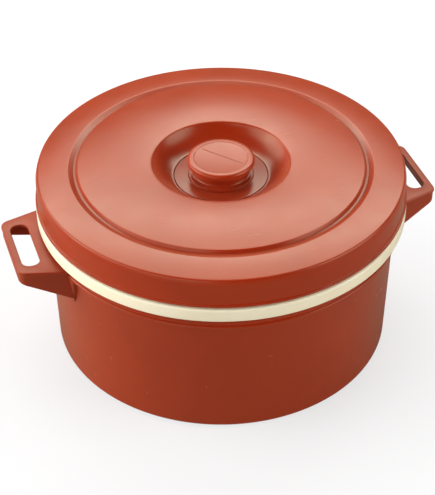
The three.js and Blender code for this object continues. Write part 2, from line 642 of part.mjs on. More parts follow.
// Lid: the spool-shaped knob, moulded in one with the disc that sits in the well's floor
function knob() {
  const capBottom = KNOB_TOP - KNOB_CAP_THICKNESS;
  const edgeCentre = KNOB_CAP_RADIUS - KNOB_CAP_EDGE_RADIUS;
  const edgeHeight = KNOB_TOP - KNOB_CAP_EDGE_RADIUS;
  const footTop = WELL_FLOOR + KNOB_FOOT_HEIGHT;
  const filletHeight = footTop + KNOB_FOOT_FILLET;
  const filletWidth = KNOB_FOOT_RADIUS - KNOB_WAIST_RADIUS;
  const insertHole = INSERT_RADIUS + SEAT_GAP;
  const bossBottom = KNOB_DISC_UNDERSIDE;
  const insertTop = bossBottom + INSERT_LENGTH + 2 * SEAT_GAP;
  const hollowRadius = KNOB_WAIST_RADIUS - KNOB_WALL;
  const hollowTop = capBottom - KNOB_WALL / 2;
  return turned(
    [
      [0, insertTop],
      [insertHole, insertTop],
      [insertHole, bossBottom],
      [KNOB_BOSS_RADIUS, bossBottom],
      [KNOB_BOSS_RADIUS, hollowTop],
      [hollowRadius, hollowTop],
      [hollowRadius, KNOB_DISC_UNDERSIDE],
      [KNOB_DISC_RADIUS, KNOB_DISC_UNDERSIDE],
      [KNOB_DISC_RADIUS, WELL_FLOOR],
      [KNOB_FOOT_RADIUS, WELL_FLOOR],
      [KNOB_FOOT_RADIUS, footTop],
      ...arc(KNOB_FOOT_RADIUS, filletHeight, filletWidth, KNOB_FOOT_FILLET, 3, 2).slice(1),
      [KNOB_WAIST_RADIUS, capBottom - KNOB_FOOT_FILLET],
      [edgeCentre, capBottom],
      [KNOB_CAP_RADIUS, edgeHeight],
      ...arc(edgeCentre, edgeHeight, KNOB_CAP_EDGE_RADIUS, KNOB_CAP_EDGE_RADIUS, 0, 1).slice(1),
      [KNOB_FACE_RADIUS + KNOB_FACE_STEP, KNOB_TOP],
      [KNOB_FACE_RADIUS, KNOB_TOP - KNOB_FACE_STEP],
      [0, KNOB_TOP - KNOB_FACE_STEP],
    ],
    KNOB_SIDES,
  );
}

// Brass insert held in the knob's boss
function knobInsert() {
  const from = KNOB_DISC_UNDERSIDE + SEAT_GAP;
  const bore = BOLT_RADIUS + SEAT_GAP;
  return turnedRing(
    [
      [bore, from],
      [INSERT_RADIUS, from],
      [INSERT_RADIUS, from + INSERT_LENGTH],
      [bore, from + INSERT_LENGTH],
    ],
    SMALL_SIDES,
  );
}

// Washer under the knob bolt's head
function knobWasher() {
  const top = LID_CENTRE_UNDERSIDE - SEAT_GAP;
  const bore = BOLT_RADIUS + SEAT_GAP;
  return turnedRing(
    [
      [bore, top - BOLT_WASHER_THICKNESS],
      [BOLT_WASHER_RADIUS, top - BOLT_WASHER_THICKNESS],
      [BOLT_WASHER_RADIUS, top],
      [bore, top],
    ],
    SMALL_SIDES,
  );
}

// Bolt that draws the knob down on the lid from below
function knobBolt() {
  const headTop = LID_CENTRE_UNDERSIDE - BOLT_WASHER_THICKNESS - 2 * SEAT_GAP;
  const end = KNOB_DISC_UNDERSIDE + INSERT_LENGTH - BOLT_END_SPACE;
  return turned(
    [
      [0, headTop - BOLT_HEAD_HEIGHT],
      [BOLT_HEAD_RADIUS, headTop - BOLT_HEAD_HEIGHT],
      [BOLT_HEAD_RADIUS, headTop],
      [BOLT_RADIUS, headTop],
      [BOLT_RADIUS, end],
      [0, end],
    ],
    SMALL_SIDES,
  );
}

// Lid: the pale liner, with an upstand inside the lid's side and a plug that enters the pot's mouth
function lidLiner() {
  const upstandTop = LINER_DECK_TOP + LINER_UPSTAND;
  const upstandInner = LINER_RADIUS - LINER_WALL;
  const cornerCentre = LINER_PLUG_RADIUS - LINER_PLUG_CORNER_RADIUS;
  const cornerHeight = LINER_PLUG_BOTTOM + LINER_PLUG_CORNER_RADIUS;
  const innerCorner = LINER_PLUG_CORNER_RADIUS - LINER_WALL;
  return turnedRing([
    [PORT_RADIUS, LINER_PLUG_BOTTOM],
    ...arc(cornerCentre, cornerHeight, LINER_PLUG_CORNER_RADIUS, LINER_PLUG_CORNER_RADIUS, -1, 0),
    [LINER_PLUG_RADIUS, LINER_DECK_UNDERSIDE],
    [LINER_RADIUS, LINER_DECK_UNDERSIDE],
    [LINER_RADIUS, upstandTop],
    [upstandInner, upstandTop],
    [upstandInner, LINER_DECK_TOP],
    [LINER_PLUG_RADIUS - LINER_WALL, LINER_DECK_TOP],
    ...arc(cornerCentre, cornerHeight, innerCorner, innerCorner, 0, -1),
    [PORT_RADIUS, LINER_PLUG_BOTTOM + LINER_WALL],
  ]);
}

// Plug of the liner's foam port, in the middle of the underside
function lidPortPlug() {
  const flangeTop = LINER_PLUG_BOTTOM - SEAT_GAP;
  const stemRadius = PORT_RADIUS - SEAT_GAP;
  return turned(
    [
      [0, flangeTop - PLUG_FLANGE_THICKNESS],
      [PORT_RADIUS + PLUG_FLANGE_WIDTH, flangeTop - PLUG_FLANGE_THICKNESS],
      [PORT_RADIUS + PLUG_FLANGE_WIDTH, flangeTop],
      [stemRadius, flangeTop],
      [stemRadius, LINER_PLUG_BOTTOM + LINER_WALL],
      [0, LINER_PLUG_BOTTOM + LINER_WALL],
    ],
    SMALL_SIDES,
  );
}

// Lid: the foam between the shell and the liner, with a pocket for the knob's bolt
function lidInsulation() {
  const floor = LINER_PLUG_BOTTOM + LINER_WALL + SEAT_GAP;
  const plugRadius = LINER_PLUG_RADIUS - LINER_WALL - SEAT_GAP;
  const cornerCentre = LINER_PLUG_RADIUS - LINER_PLUG_CORNER_RADIUS;
  const corner = LINER_PLUG_CORNER_RADIUS - LINER_WALL - SEAT_GAP;
  const cornerHeight = LINER_PLUG_BOTTOM + LINER_PLUG_CORNER_RADIUS;
  const deck = LINER_DECK_TOP + SEAT_GAP;
  const sideRadius = LINER_RADIUS - LINER_WALL - SEAT_GAP;
  const upstandTop = LINER_DECK_TOP + LINER_UPSTAND + SEAT_GAP;
  const outerRadius = LID_RADIUS - LID_WALL - SEAT_GAP;
  const wellBottom = LID_CENTRE_UNDERSIDE - SEAT_GAP;
  const pocketRadius = BOLT_WASHER_RADIUS + SEAT_GAP;
  const pocketDepth = BOLT_WASHER_THICKNESS + BOLT_HEAD_HEIGHT + 2 * SEAT_GAP;
  return turned([
    [0, floor],
    ...arc(cornerCentre, cornerHeight, corner, corner, -1, 0),
    [plugRadius, deck],
    [sideRadius, deck],
    [sideRadius, upstandTop],
    [outerRadius, upstandTop],
    ...lidUnderside(SEAT_GAP).reverse(),
    [pocketRadius, wellBottom],
    [pocketRadius, wellBottom - pocketDepth],
    [0, wellBottom - pocketDepth],
  ]);
}

// Lid: the soft ring round the plug that closes on the pot's rim
function lidSeal() {
  const inner = LINER_PLUG_RADIUS + SEAT_GAP;
  const outer = inner + SEAL_WIDTH;
  const top = LINER_DECK_UNDERSIDE - SEAT_GAP;
  const bottom = RIM_HEIGHT + SEAT_GAP;
  return turnedRing([
    [inner, top - (top - bottom) / 2],
    [outer - 2 * SEAL_BEAD, top - (top - bottom) / 2],
    [outer - 2 * SEAL_BEAD, bottom],
    [outer, bottom],
    [outer, top],
    [inner, top],
  ]);
}

addPiece("outer_shell", outerShell(), PLASTIC_RED);
addPiece("inner_pot", innerPot(), PLASTIC_CREAM);
addPiece("body_insulation", bodyInsulation(), FOAM);
portPlaces().forEach((place, i) => {
  addPiece(["foam_fill_plug", "foam_vent_plug"][i], portPlug(place), PLASTIC_RED);
});

const handle = handleSolid();
addPiece("handle_right", geometryOf(handle), PLASTIC_RED);
addPiece("handle_left", geometryOf(handle).rotateZ(Math.PI), PLASTIC_RED);
screwAngles().forEach((angle, i) => {
  addPiece(`handle_screw_${i + 1}`, handleScrew(angle), STAINLESS);
  addPiece(`handle_washer_${i + 1}`, handleWasher(angle), STAINLESS);
});

addPiece("lid_shell", lidShell(), PLASTIC_RED);
addPiece("lid_liner", lidLiner(), PLASTIC_CREAM);
addPiece("lid_insulation", lidInsulation(), FOAM);
addPiece("lid_seal", lidSeal(), SILICONE);
addPiece("lid_port_plug", lidPortPlug(), PLASTIC_CREAM);
addPiece("knob", knob(), PLASTIC_RED);
addPiece("knob_insert", knobInsert(), BRASS);
addPiece("knob_washer", knobWasher(), STAINLESS);
addPiece("knob_bolt", knobBolt(), STAINLESS);

export default container;
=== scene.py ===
import math

import bmesh
import bpy
import numpy as np
from mathutils import Matrix, Vector


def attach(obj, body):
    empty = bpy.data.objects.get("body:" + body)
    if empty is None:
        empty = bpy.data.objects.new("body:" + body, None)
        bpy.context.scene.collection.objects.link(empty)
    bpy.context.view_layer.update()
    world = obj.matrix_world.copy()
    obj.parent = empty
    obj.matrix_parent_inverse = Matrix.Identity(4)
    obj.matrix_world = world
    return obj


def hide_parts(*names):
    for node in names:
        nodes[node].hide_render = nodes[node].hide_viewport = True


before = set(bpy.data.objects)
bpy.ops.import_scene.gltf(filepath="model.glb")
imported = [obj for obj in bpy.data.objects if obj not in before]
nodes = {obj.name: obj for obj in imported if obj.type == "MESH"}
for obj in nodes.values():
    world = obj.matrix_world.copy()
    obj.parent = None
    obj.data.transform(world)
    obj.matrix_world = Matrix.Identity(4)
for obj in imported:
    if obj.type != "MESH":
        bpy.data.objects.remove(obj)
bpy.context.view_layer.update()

# The photograph's view: from the front left and above, solved from the ellipses of the lid, the
# rim and the base. The focal length is 1500 pixels in a frame of 435 by 495.
CAMERA_PLACE = (-0.40235, -1.23244, 1.11813)
CAMERA_HEADING = 17.9
CAMERA_PITCH = 38.315
CAMERA_ROLL = -0.2731
FOCAL_PIXELS = 1500
FRAME_PIXELS = 495
SENSOR_MM = 36

camera = bpy.data.objects.new("camera", bpy.data.cameras.new("camera"))
camera.data.sensor_width = SENSOR_MM
camera.data.lens = SENSOR_MM * FOCAL_PIXELS / FRAME_PIXELS
camera.matrix_world = (
    Matrix.Translation(CAMERA_PLACE)
    @ Matrix.Rotation(math.radians(-CAMERA_HEADING), 4, "Z")
    @ Matrix.Rotation(math.radians(90 - CAMERA_PITCH), 4, "X")
    @ Matrix.Rotation(math.radians(CAMERA_ROLL), 4, "Z")
)
bpy.context.scene.collection.objects.link(camera)
bpy.context.scene.camera = camera

# Tub wall: the outer shell of the tub with its base, foot ring and collar, which has a bead along
# its lower edge. Moulded in one from brick-red polypropylene, with the gate's mark under the base,
# and open at the top, where the pot's rim folds over it. Sizes are in millimetres.
MM = 0.001
ROUND_SIDES = 240
ARC_DEGREES = 15
LONGEST_ROUNDING = 0.49
SWEEP_RADIUS = 0.1
MERGE_DISTANCE = 1e-6
SHARP_DEGREES = 32

WALL_LOW, WALL_HIGH, WALL = 183.2, 186.6, 3.2
BASE_UNDERSIDE, BASE_TOP = 4.0, 7.2
FOOT_INNER, FOOT_OUTER, FOOT_HEIGHT, FOOT_SLOPE = 170.6, 178.4, 1.6, 0.5
COLLAR_RADIUS, COLLAR_UNDERSIDE, WALL_TOP = 192.5, 142.6, 168.2
BEAD_PROUD, BEAD_EDGE, BEAD_TOP = 2.1, 145.9, 146.6
COLLAR_FLOOR, COLLAR_FLOOR_FALL = 146.8, 1.0
GATE_RADIUS, GATE_DEPTH = 7.0, 0.5
GATE_NIB_RADIUS, GATE_NIB_HEIGHT = 1.2, 0.4

MIX_FIRST, MIX_SECOND, MIX_COLOUR = 6, 7, 2  # a mix node's sockets for colours
FLOW_SCALE, HAZE_SCALE, WAVE_SCALE, GRAIN_SCALE = 14.0, 45.0, 38.0, 1400.0  # to the metre
NOISE_SPREAD = (0.3, 0.7)
RUB_STRETCH, RUB_DEGREES, RUB_SCALE, RUB_SPREAD = (9.0, 260.0, 60.0), 35, 2.0, (0.6, 0.78)
WAVE_STRENGTH, WAVE_DEPTH, GRAIN_STRENGTH, GRAIN_DEPTH = 0.2, 0.0004, 0.03, 0.0001
BLOOM, BLOOM_ROUGHNESS, BLOOM_TINT = 0.2, 0.5, "FFDAA4"
RED, RED_SHADE, RED_GLOSS = "9F2809", "962407", "FFF9D2"


def add_node(tree, kind, inputs=None, **settings):
    """Adds a node with its settings. An input is a value, or another node's socket to link."""
    made = tree.nodes.new(kind)
    for name, value in settings.items():
        setattr(made, name, value)
    for name, value in (inputs or {}).items():
        if isinstance(value, bpy.types.NodeSocket):
            tree.links.new(value, made.inputs[name])
        else:
            made.inputs[name].default_value = value
    return made


def linear(colour):
    """A colour written as sRGB hex, as linear red, green, blue and alpha."""
    shares = [int(colour[i : i + 2], 16) / 255 for i in (0, 2, 4)]
    return [s / 12.92 if s <= 0.04045 else ((s + 0.055) / 1.055) ** 2.4 for s in shares] + [1]


def rounded(corners, closed=False):
    """Points in metres of a section given as (radius, height, rounding) in millimetres."""
    points = []
    count = len(corners)
    for i, (radius, height, rounding) in enumerate(corners):
        corner = Vector((radius, height))
        if not rounding or (not closed and i in (0, count - 1)):
            points.append(corner * MM)
            continue
        back = Vector(corners[i - 1][:2]) - corner
        ahead = Vector(corners[(i + 1) % count][:2]) - corner
        turn = math.pi - back.angle(ahead)
        room = LONGEST_ROUNDING * min(back.length, ahead.length)
        reach = min(rounding * math.tan(turn / 2), room)
        start, end = corner + back.normalized() * reach, corner + ahead.normalized() * reach
        size = reach / math.tan(turn / 2)
        inward = (back.normalized() + ahead.normalized()).normalized()
        centre = corner + inward * math.hypot(size, reach)
        steps = max(2, math.ceil(math.degrees(turn) / ARC_DEGREES))
        first, last = start - centre, end - centre
        for k in range(steps + 1):
            share = k / steps
            arm = first * math.sin((1 - share) * turn) + last * math.sin(share * turn)
            points.append((centre + arm / math.sin(turn)) * MM)
    return points


def turning_tree():
    """Geometry nodes that turn a section in the X-Z plane into a solid about the Z axis."""
    tree = bpy.data.node_groups.new("turned about the axis", "GeometryNodeTree")
    face = tree.interface
    face.new_socket("Section", in_out="INPUT", socket_type="NodeSocketGeometry")
    face.new_socket("Sides", in_out="INPUT", socket_type="NodeSocketInt")
    face.new_socket("Material", in_out="INPUT", socket_type="NodeSocketMaterial")
    face.new_socket("Solid", in_out="OUTPUT", socket_type="NodeSocketGeometry")
    given = add_node(tree, "NodeGroupInput")
    place = add_node(tree, "GeometryNodeInputPosition")
    parts = add_node(tree, "ShaderNodeSeparateXYZ", {"Vector": place.outputs[0]})
    offset = {0: parts.outputs["X"], 1: SWEEP_RADIUS}
    radius = add_node(tree, "ShaderNodeMath", offset, operation="SUBTRACT")
    fall = {0: parts.outputs["Z"], 1: -1.0}
    height = add_node(tree, "ShaderNodeMath", fall, operation="MULTIPLY")
    laid_flat = {"X": radius.outputs[0], "Y": height.outputs[0]}
    swept = add_node(tree, "ShaderNodeCombineXYZ", laid_flat)
    laid = {"Geometry": given.outputs["Section"], "Position": swept.outputs[0]}
    flat = add_node(tree, "GeometryNodeSetPosition", laid)
    section = add_node(tree, "GeometryNodeMeshToCurve", {"Mesh": flat.outputs[0]})
    ring = {"Resolution": given.outputs["Sides"], "Radius": SWEEP_RADIUS}
    path = add_node(tree, "GeometryNodeCurvePrimitiveCircle", ring)
    sweep = {"Curve": path.outputs["Curve"], "Profile Curve": section.outputs[0]}
    skin = add_node(tree, "GeometryNodeCurveToMesh", sweep)
    sealed = {"Geometry": skin.outputs[0], "Distance": MERGE_DISTANCE}
    merged = add_node(tree, "GeometryNodeMergeByDistance", sealed)
    real = add_node(tree, "GeometryNodeRealizeInstances", {"Geometry": merged.outputs[0]})
    covered = {"Geometry": real.outputs[0], "Material": given.outputs["Material"]}
    done = add_node(tree, "GeometryNodeSetMaterial", covered)
    add_node(tree, "NodeGroupOutput", {"Solid": done.outputs[0]})
    return tree


def apply_modifiers(piece):
    """Makes what a piece's modifiers show its own mesh, with faces outward and edges shaded."""
    bpy.context.view_layer.update()
    shown = piece.evaluated_get(bpy.context.evaluated_depsgraph_get())
    mesh = bpy.data.meshes.new_from_object(shown)
    piece.modifiers.clear()
    piece.data = mesh
    work = bmesh.new()
    work.from_mesh(mesh)
    bmesh.ops.remove_doubles(work, verts=work.verts, dist=MERGE_DISTANCE)
    bmesh.ops.recalc_face_normals(work, faces=work.faces)
    work.to_mesh(mesh)
    work.free()
    mesh.shade_smooth()
    mesh.set_sharp_from_angle(angle=math.radians(SHARP_DEGREES))
    return piece


def set_input(modifier, name, value):
    """Sets a Geometry Nodes input by the socket's identifier."""
    for item in modifier.node_group.interface.items_tree:
        if item.name == name and item.in_out == "INPUT":
            modifier[item.identifier] = value


def turned(name, corners, material, closed=False, sides=ROUND_SIDES):
    """A piece turned about the Z axis from the corners of its section."""
    points = rounded(corners, closed)
    count = len(points)
    edges = [(i, (i + 1) % count) for i in range(count if closed else count - 1)]
    mesh = bpy.data.meshes.new(name)
    mesh.from_pydata([(p.x, 0, p.y) for p in points], edges, [])
    piece = bpy.data.objects.new(name, mesh)
    bpy.context.scene.collection.objects.link(piece)
    modifier = piece.modifiers.new("turning", "NODES")
    modifier.node_group = turning
    set_input(modifier, "Sides", sides)
    set_input(modifier, "Material", material)
    return apply_modifiers(piece)


def new_material(name):
    """A material with its node tree, its shader and the piece's own coordinates."""
    material = bpy.data.materials.new(name)
    material.use_nodes = True
    tree = material.node_tree
    place = add_node(tree, "ShaderNodeTexCoord").outputs["Object"]
    return material, tree, tree.nodes["Principled BSDF"], place


def noise(tree, place, scale, detail=2.0, roughness=0.5):
    inputs = {"Vector": place, "Scale": scale, "Detail": detail, "Roughness": roughness}
    return add_node(tree, "ShaderNodeTexNoise", inputs).outputs["Fac"]


def ranged(tree, value, low, high, start=0.0, end=1.0, kind="LINEAR"):
    """Takes a value between start and end to a value between low and high."""
    inputs = {"Value": value, "From Min": start, "From Max": end, "To Min": low, "To Max": high}
    return add_node(tree, "ShaderNodeMapRange", inputs, interpolation_type=kind).outputs[0]


def toned(tree, factor, first, second):
    """A colour that goes from the first to the second as the factor grows."""
    inputs = {"Factor": factor, MIX_FIRST: linear(first), MIX_SECOND: linear(second)}
    return add_node(tree, "ShaderNodeMix", inputs, data_type="RGBA").outputs[MIX_COLOUR]


def relief(tree, height, strength, distance, under=None):
    """A bump, on top of the one under it if there is one."""
    inputs = {"Height": height, "Strength": strength, "Distance": distance}
    if under:
        inputs["Normal"] = under
    return add_node(tree, "ShaderNodeBump", inputs).outputs[0]


def finish(tree, shader, colour, roughness, bump):
    for name, socket in (("Base Color", colour), ("Roughness", roughness), ("Normal", bump)):
        tree.links.new(socket, shader.inputs[name])


def moulded_polypropylene(name, colour, shade, tint, roughness, rub):
    """Injection-moulded polypropylene with a satin mould finish.

    It gives the eye an even colour with flow shades some 70 mm wide, a gloss that changes over
    20 mm and has slanting rub marks, slow waves of 26 mm, a grain finer than a millimetre, and
    the faint warm bloom of used plastic where it is seen at a slant.
    """
    material, tree, shader, place = new_material(name)
    shader.inputs["IOR"].default_value = 1.52
    shader.inputs["Specular Tint"].default_value = linear(tint)
    shader.inputs["Sheen Weight"].default_value = BLOOM
    shader.inputs["Sheen Roughness"].default_value = BLOOM_ROUGHNESS
    shader.inputs["Sheen Tint"].default_value = linear(BLOOM_TINT)
    flow = ranged(tree, noise(tree, place, FLOW_SCALE, detail=3.0), 0.0, 1.0, *NOISE_SPREAD)

    slanted = {"Vector": place, "Scale": RUB_STRETCH}
    slanted["Rotation"] = (0, 0, math.radians(RUB_DEGREES))
    stretched = add_node(tree, "ShaderNodeMapping", slanted).outputs[0]
    streaks = noise(tree, stretched, RUB_SCALE, detail=4.0, roughness=0.6)
    marks = ranged(tree, streaks, 0.0, rub, *RUB_SPREAD)
    gloss = ranged(tree, noise(tree, place, HAZE_SCALE), *roughness, *NOISE_SPREAD)
    total = add_node(tree, "ShaderNodeMath", {0: gloss, 1: marks}, operation="ADD").outputs[0]

    swell = noise(tree, place, WAVE_SCALE, detail=1.0)
    waves = relief(tree, swell, WAVE_STRENGTH, WAVE_DEPTH)
    grit = noise(tree, place, GRAIN_SCALE)
    grain = relief(tree, grit, GRAIN_STRENGTH, GRAIN_DEPTH, waves)
    finish(tree, shader, toned(tree, flow, colour, shade), total, grain)
    return material


turning = turning_tree()
red_plastic = moulded_polypropylene(
    "injection-moulded red polypropylene", RED, RED_SHADE, RED_GLOSS, (0.21, 0.26), 0.05
)
tub_wall = turned(
    "tub_wall",
    [
        (0, BASE_UNDERSIDE + GATE_DEPTH - GATE_NIB_HEIGHT, 0),
        (GATE_NIB_RADIUS, BASE_UNDERSIDE + GATE_DEPTH - GATE_NIB_HEIGHT, 0.15),
        (GATE_NIB_RADIUS, BASE_UNDERSIDE + GATE_DEPTH, 0.15),
        (GATE_RADIUS - GATE_DEPTH, BASE_UNDERSIDE + GATE_DEPTH, 0.3),
        (GATE_RADIUS, BASE_UNDERSIDE, 0.3),
        (FOOT_INNER, BASE_UNDERSIDE, 0.8),
        (FOOT_INNER, 0, 0.9),
        (FOOT_OUTER - FOOT_SLOPE, 0, 0.7),
        (FOOT_OUTER, FOOT_HEIGHT, 0.2),
        (WALL_LOW, FOOT_HEIGHT, 4.4),
        (WALL_HIGH, COLLAR_UNDERSIDE, 0.6),
        (COLLAR_RADIUS, COLLAR_UNDERSIDE, 1.3),
        (COLLAR_RADIUS, BEAD_EDGE, 1.6),
        (COLLAR_RADIUS - BEAD_PROUD, BEAD_TOP, 0.5),
        (COLLAR_RADIUS - BEAD_PROUD, WALL_TOP, 0.5),
        (COLLAR_RADIUS - WALL, WALL_TOP, 0.5),
        (COLLAR_RADIUS - WALL, COLLAR_FLOOR, 1.0),
        (WALL_HIGH - WALL, COLLAR_FLOOR - COLLAR_FLOOR_FALL, 1.5),
        (WALL_LOW - WALL, BASE_TOP, 2.5),
        (0, BASE_TOP, 0),
    ],
    red_plastic,
)

# Foam ports: two round plugs in the base, front and back, that close the holes through which the
# foam went in. Moulded red polypropylene, pressed in, each with a flange and a round pry pocket.
PORT_RADIUS, PORT_PLACE = 9.0, 119.996
HOLE_BOTTOM, HOLE_TOP = -5, 20
PLUG_TOP, PLUG_FLANGE_TOP, PLUG_FLANGE, PLUG_FACE = 7.2, 3.7, 11.5, 2.3
POCKET_FLOOR_RADIUS, POCKET_RADIUS, POCKET_DEPTH = 3.0, 3.6, 0.5
PLUG_GAP = 0.3
PLUG_SIDES = 48


def boolean(piece, cutter, operation):
    """Joins or cuts a piece with another mesh, which is then thrown away."""
    modifier = piece.modifiers.new(operation, "BOOLEAN")
    modifier.operation = operation
    modifier.object = cutter
    modifier.solver = "EXACT"
    apply_modifiers(piece)
    bpy.data.objects.remove(cutter)
    return piece


def moved(piece, matrix):
    """Puts a turned piece in its place by moving its mesh."""
    piece.data.transform(matrix)
    return piece


def port_plug(name, face, flange_top, top, material):
    """A plug turned about the Z axis, from its face below to its top."""
    corners = [
        (0, face + POCKET_DEPTH, 0),
        (POCKET_FLOOR_RADIUS, face + POCKET_DEPTH, 0.2),
        (POCKET_RADIUS, face, 0.2),
        (PLUG_FLANGE, face, 0.6),
        (PLUG_FLANGE, flange_top, 0.2),
        (PORT_RADIUS - PLUG_GAP, flange_top, 0.2),
        (PORT_RADIUS - PLUG_GAP, top, 0.5),
        (0, top, 0),
    ]
    return turned(name, corners, material, sides=PLUG_SIDES)


plugs = []
for side in (-1, 1):
    place = Matrix.Translation((0, side * PORT_PLACE * MM, 0))
    corners = [
        (0, HOLE_BOTTOM, 0),
        (PORT_RADIUS, HOLE_BOTTOM, 0),
        (PORT_RADIUS, HOLE_TOP, 0),
        (0, HOLE_TOP, 0),
    ]
    hole = turned("hole", corners, red_plastic, sides=PLUG_SIDES)
    boolean(tub_wall, moved(hole, place), "DIFFERENCE")
    name = "foam_port_plug_front" if side < 0 else "foam_port_plug_back"
    plug = port_plug(name, PLUG_FACE, PLUG_FLANGE_TOP, PLUG_TOP, red_plastic)
    plugs.append(moved(plug, place))
for plug, cad_node in zip(plugs, ("foam_fill_plug", "foam_vent_plug")):
    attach(plug, "tub")
    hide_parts(cad_node)

# The tub wall has its holes now, so it takes its place.
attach(tub_wall, "tub")
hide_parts("outer_shell")

# Inner pot: the cream polypropylene pot that holds the rice. Its rim is wide and flat, folds over
# the tub wall's top edge, and shows as a pale ring under the lid.
POT_UNDERSIDE, POT_FLOOR = 29.3, 32.3
POT_FLOOR_RADIUS, POT_MOUTH, POT_WALL = 157.06, 163.0, 3.0
POT_CORNER = 22.0
RIM_TOP, RIM_DECK, RIM_BOTTOM, RIM_RADIUS, RIM_INNER = 171.5, 168.5, 157.1, 197.3, 192.8
RIM_EDGE, MOUTH_EDGE = 2.4, 2.0

cream_plastic = moulded_polypropylene(
    "injection-moulded cream polypropylene", "F8EFD2", "F5EACA", "FFFFFF", (0.30, 0.38), 0.08
)
pot = turned(
    "inner_pot_moulded",
    [
        (0, POT_UNDERSIDE, 0),
        (POT_FLOOR_RADIUS + POT_WALL, POT_UNDERSIDE, POT_CORNER + POT_WALL),
        (POT_MOUTH + POT_WALL, RIM_DECK, 1.5),
        (RIM_INNER, RIM_DECK, 0.8),
        (RIM_INNER, RIM_BOTTOM, 0.4),
        (RIM_RADIUS, RIM_BOTTOM, 0.9),
        (RIM_RADIUS, RIM_TOP, RIM_EDGE),
        (POT_MOUTH, RIM_TOP, MOUTH_EDGE),
        (POT_FLOOR_RADIUS, POT_FLOOR, POT_CORNER),
        (0, POT_FLOOR, 0),
    ],
    cream_plastic,
)
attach(pot, "tub")
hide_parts("inner_pot")

# Insulation: rigid polyurethane foam, foamed in place between the walls of the tub and of the
# lid. It is sealed in, so only its CAD solids are kept, with a cut foam's cell texture.


def rigid_foam(name, colour, shade):
    """Rigid foam: matt, with cells of about a millimetre, each painted darker towards its middle
    as shade in its pit.
    """
    material, tree, shader, place = new_material(name)
    shader.inputs["Specular IOR Level"].default_value = 0.2
    cells = add_node(tree, "ShaderNodeTexVoronoi", {"Vector": place, "Scale": 900.0})
    depth = cells.outputs["Distance"]
    pits = relief(tree, depth, 0.6, 0.0005)
    # The colour goes to the darker tone where the pits are deepest: painted shade in the pits.
    finish(tree, shader, toned(tree, depth, shade, colour), ranged(tree, depth, 0.85, 1.0), pits)
    return material


def refinish(names, material):
    """Gives sealed-in CAD solids their material."""
    for name in names:
        nodes[name].data.materials.clear()
        nodes[name].data.materials.append(material)


foam = rigid_foam("foamed-in-place rigid polyurethane", "E8DCAE", "C9B985")
refinish(("body_insulation", "lid_insulation"), foam)

# Handles: two upside-down trays moulded in red polypropylene, each with a flat top, a finger
# slot, a skirt that gets deeper towards the tub, and a root pad under the collar. Two screws from
# inside the wall hold each by its bosses.
TIP, TIP_HALF_WIDTH, FLARE, PLATE_TOP, PLATE = 232.7, 45.5, 0.26, 150.8, 3.2
PLATE_CORNER, LIP, SKIRT = 10.0, 1.0, 3.0
TIP_DEPTH, SLOPE = 13.8, 0.43
SLOT_MIDDLE, SLOT_HALF_WIDTH, SLOT_HALF_LENGTH, SLOT_CORNER = 215.5, 9.4, 35.7, 8.4
ROOT_INSIDE, WALL_FOOT = 170.0, 6.1
TOP_EDGE, LIP_EDGE, FILLET, SKIRT_EDGE, SLOT_EDGE = 1.8, 0.7, 0.4, 0.9, 0.9
PAD_HALF_WIDTH, PAD_FOOT_HALF_WIDTH, PAD_TOP, PAD_FOOT = 64.5, 55.0, 142.3, 106.3
PAD_THICKNESS, PAD_FOOT_THICKNESS, PAD_ROOT, PAD_EDGE, PAD_CORNER = 5.0, 1.1, 8.0, 1.0, 4.0
PAD_OVERLAP = 2
PAD_SHARES = (0.97, 0.9, 0.8, 0.65, 0.5, 0.35, 0.2, 0.07)
SEAT = 0.3
RAY_LENGTH, HALVINGS = 150.0, 50
CORNER_STEPS, PAD_CORNER_STEPS, SIDE_PARTS, ANGLE_DIGITS = 9, 7, 8, 3
BOSS_RADIUS, BOSS_END, BOSS_EDGE, SCREW_ANGLE, SCREW_HEIGHT = 5.5, 199.1, 1.2, 11.25, 131.1

# The same plastic from a grained mould gives the eye softer, broader shines.
dull_plastic = moulded_polypropylene(
    "fine-grained moulded red polypropylene", RED, RED_SHADE, RED_GLOSS, (0.36, 0.44), 0.05
)


def convex_distance(points, polygon):
    """Distance of points from a convex polygon that runs anticlockwise, below zero inside."""
    nearest = np.full(len(points), np.inf)
    deepest = np.full(len(points), -np.inf)
    for start, end in zip(polygon, np.roll(polygon, -1, axis=0)):
        along, away = end - start, points - start
        share = np.clip(away @ along / (along @ along), 0, 1)
        nearest = np.minimum(nearest, np.linalg.norm(away - share[:, None] * along, axis=1))
        outward = np.array([along[1], -along[0]]) / np.linalg.norm(along)
        deepest = np.maximum(deepest, away @ outward)
    return np.where(deepest > 0, nearest, deepest)


def level_line(outline, inset, middle, directions):
    """Where rays from the middle meet the line that lies an inset inside a rounded outline."""
    polygon, rounding = outline
    near, far = np.zeros(len(directions)), np.full(len(directions), RAY_LENGTH)
    for _ in range(HALVINGS):
        half = (near + far) / 2
        inside = convex_distance(middle + half[:, None] * directions, polygon) - rounding < -inset
        near, far = np.where(inside, half, near), np.where(inside, far, half)
    return middle + near[:, None] * directions


def plate_half_width(x, inset):
    return TIP_HALF_WIDTH + FLARE * (TIP - x) - inset * math.hypot(1, FLARE)


def four_cornered(left, right, left_half, right_half, rounding):
    """An outline: the polygon through the middles of its corners' roundings, and the rounding."""
    corners = [(left, -left_half), (right, -right_half), (right, right_half), (left, left_half)]
    return np.array(corners), rounding


inner_tip, inner_root = TIP - PLATE_CORNER, ROOT_INSIDE + PLATE_CORNER
plate_outline = four_cornered(
    inner_root,
    inner_tip,
    plate_half_width(inner_root, PLATE_CORNER),
    plate_half_width(inner_tip, PLATE_CORNER),
    PLATE_CORNER,
)
slot_side, slot_end = SLOT_HALF_WIDTH - SLOT_CORNER, SLOT_HALF_LENGTH - SLOT_CORNER
slot_outline = four_cornered(
    SLOT_MIDDLE - slot_side, SLOT_MIDDLE + slot_side, slot_end, slot_end, SLOT_CORNER
)


